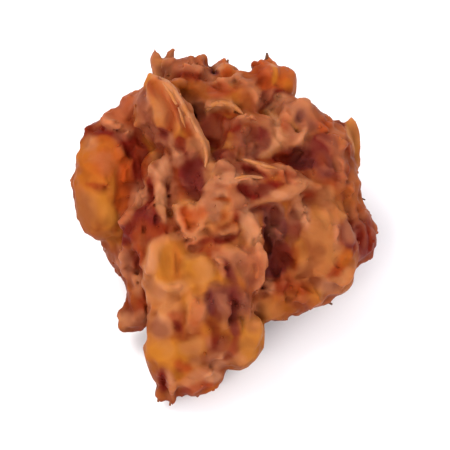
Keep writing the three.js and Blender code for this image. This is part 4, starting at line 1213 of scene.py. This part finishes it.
loose_ends = gathered([loose_end(line, wide) for wide, line in LOOSE_ENDS], "burnt_fibres")
burnt, tree, surface = material_of("burnt_onion", Roughness=0.55, Specular_IOR_Level=0.1)
fill(surface, Base_Color=patchy(tree, 1.6, 9.1, 0.4, 0.6, BURNT_DARK, BURNT_BROWN))
loose_ends.data.materials.append(burnt)
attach(loose_ends, "root")

# ---- The crumbs ----
# Drops and crumbs of batter that floated in the oil and fried onto the crust. They are smaller
# than a grain of rice and take the colour of what they cling to.

CRUMB_HALF = 0.42  # of a mean crumb
CRUMBS_PER_SQUARE_CM = 2.4
CRUMB_SEED = 8
crumb_base = into_scene("crumbs", crust_mesh.copy())
scatter = bpy.data.node_groups.new("crumbs_on_crust", "GeometryNodeTree")
for name, kind, inward in (("Crust", "NodeSocketGeometry", "INPUT"),
                           ("Crumbs per m2", "NodeSocketFloat", "INPUT"),
                           ("Seed", "NodeSocketInt", "INPUT"),
                           ("Half size", "NodeSocketFloat", "INPUT"),
                           ("Batter", "NodeSocketMaterial", "INPUT"),
                           ("Crumbs", "NodeSocketGeometry", "OUTPUT")):
    scatter.interface.new_socket(name, in_out=inward, socket_type=kind)
given, made, golden, bare, thinned, spread, grainy, sizes, turns, placed, smooth, real, painted = (
    scatter.nodes.new(kind) for kind in (
        "NodeGroupInput", "NodeGroupOutput", "GeometryNodeInputNamedAttribute",
        "ShaderNodeMapRange", "ShaderNodeMath", "GeometryNodeDistributePointsOnFaces",
        "GeometryNodeMeshIcoSphere", "FunctionNodeRandomValue", "FunctionNodeRandomValue",
        "GeometryNodeInstanceOnPoints", "GeometryNodeSetShadeSmooth",
        "GeometryNodeRealizeInstances", "GeometryNodeSetMaterial"))
golden.data_type = "FLOAT"
sizes.data_type = turns.data_type = "FLOAT_VECTOR"
thinned.operation = "MULTIPLY"
seed = given.outputs["Seed"]
fill(golden, Name="ochre")  # few crumbs cling to the smooth golden slices
fill(bare, Value=golden.outputs["Attribute"], From_Max=0.6, To_Min=1.0, To_Max=0.0)
give(thinned.inputs[0], bare.outputs["Result"])
give(thinned.inputs[1], given.outputs["Crumbs per m2"])
fill(spread, Mesh=given.outputs["Crust"], Density=thinned.outputs["Value"], Seed=seed)
fill(grainy, Subdivisions=1, Radius=given.outputs["Half size"])
fill(sizes, Min=(0.5, 0.5, 0.5), Max=(1.7, 1.4, 1.2), Seed=seed)
fill(turns, Max=(2 * math.pi,) * 3, Seed=seed)
fill(placed, Points=spread.outputs["Points"], Instance=grainy.outputs["Mesh"],
     Scale=sizes.outputs[0], Rotation=turns.outputs[0])
fill(smooth, Geometry=placed.outputs["Instances"])
fill(real, Geometry=smooth.outputs["Geometry"])
fill(painted, Geometry=real.outputs["Geometry"], Material=given.outputs["Batter"])
fill(made, Crumbs=painted.outputs["Geometry"])
sown = crumb_base.modifiers.new("sown", "NODES")
sown.node_group = scatter
sown_values = {"Crumbs per m2": CRUMBS_PER_SQUARE_CM * 1e4, "Seed": CRUMB_SEED,
               "Half size": CRUMB_HALF * MM, "Batter": fried}
for item in scatter.interface.items_tree:
    if item.name in sown_values:
        sown[item.identifier] = sown_values[item.name]
set_shape(crumb_base)
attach(crumb_base, "root")

# ---- The table ----
# A plain white table under three large soft lights: the key from the upper left, a wide fill
# from the right, and one in front.

TABLE_HALF, TABLE_UNDER = 1.5, 0.0002  # it lies just under the pakora's flat
corners = ((-1, -1), (1, -1), (1, 1), (-1, 1))
table_mesh = bpy.data.meshes.new("table")
table_mesh.from_pydata([(x * TABLE_HALF, y * TABLE_HALF, -TABLE_UNDER) for x, y in corners], [],
                       [(0, 1, 2, 3)])
table = into_scene("table", table_mesh)
white, *_ = material_of("white_table", Base_Color=(0.9, 0.89, 0.9, 1), Roughness=0.7)
table_mesh.materials.append(white)

middle = Vector((0, 0, 0.5 * cad_high.z))


def window_light(name, along, distance, size, power, colour):
    """A large soft light, `along` a direction from the food, facing it."""
    light = bpy.data.lights.new(name, "AREA")
    light.shape = "DISK"
    light.size, light.energy, light.color = size, power, colour
    holder = into_scene(name, light)
    holder.location = middle + distance * Vector(along).normalized()
    holder.rotation_euler = (holder.location - middle).to_track_quat("Z", "Y").to_euler()


window_light("key", (-0.6, 0.3, 1.0), 0.9, 0.5, 5.6, (1, 0.98, 0.95))
window_light("fill", (0.8, -0.6, 0.9), 1.0, 0.9, 2.6, (0.96, 0.97, 1))
window_light("front", (-0.4, -1.0, 0.6), 1.0, 0.7, 8, (1, 0.98, 0.96))
world = bpy.data.worlds.new("room")
world.use_nodes = True
fill(world.node_tree.nodes["Background"], Color=(0.97, 0.96, 1, 1), Strength=0.94)
bpy.context.scene.world = world
bpy.context.scene.view_settings.view_transform = "Standard"

# ---- The camera ----
# It looks straight at the broad upper face, from far off.

LENS, SENSOR = 200.0, 36.0
PAKORA_SEEN = 80 * MM  # from its foot to its crown, across the line of sight
VIEW_SHARE = 0.8  # of the picture's height that the pakora fills
camera_data = bpy.data.cameras.new("camera")
camera_data.lens, camera_data.sensor_width = LENS, SENSOR
camera = into_scene("camera", camera_data)
away = PAKORA_SEEN / VIEW_SHARE * LENS / SENSOR
out_of_face = Vector(face_axes[2])
camera.location = Vector(FACE_ORIGIN * MM) + away * out_of_face
camera.rotation_euler = out_of_face.to_track_quat("Z", "Y").to_euler()
bpy.context.scene.camera = camera
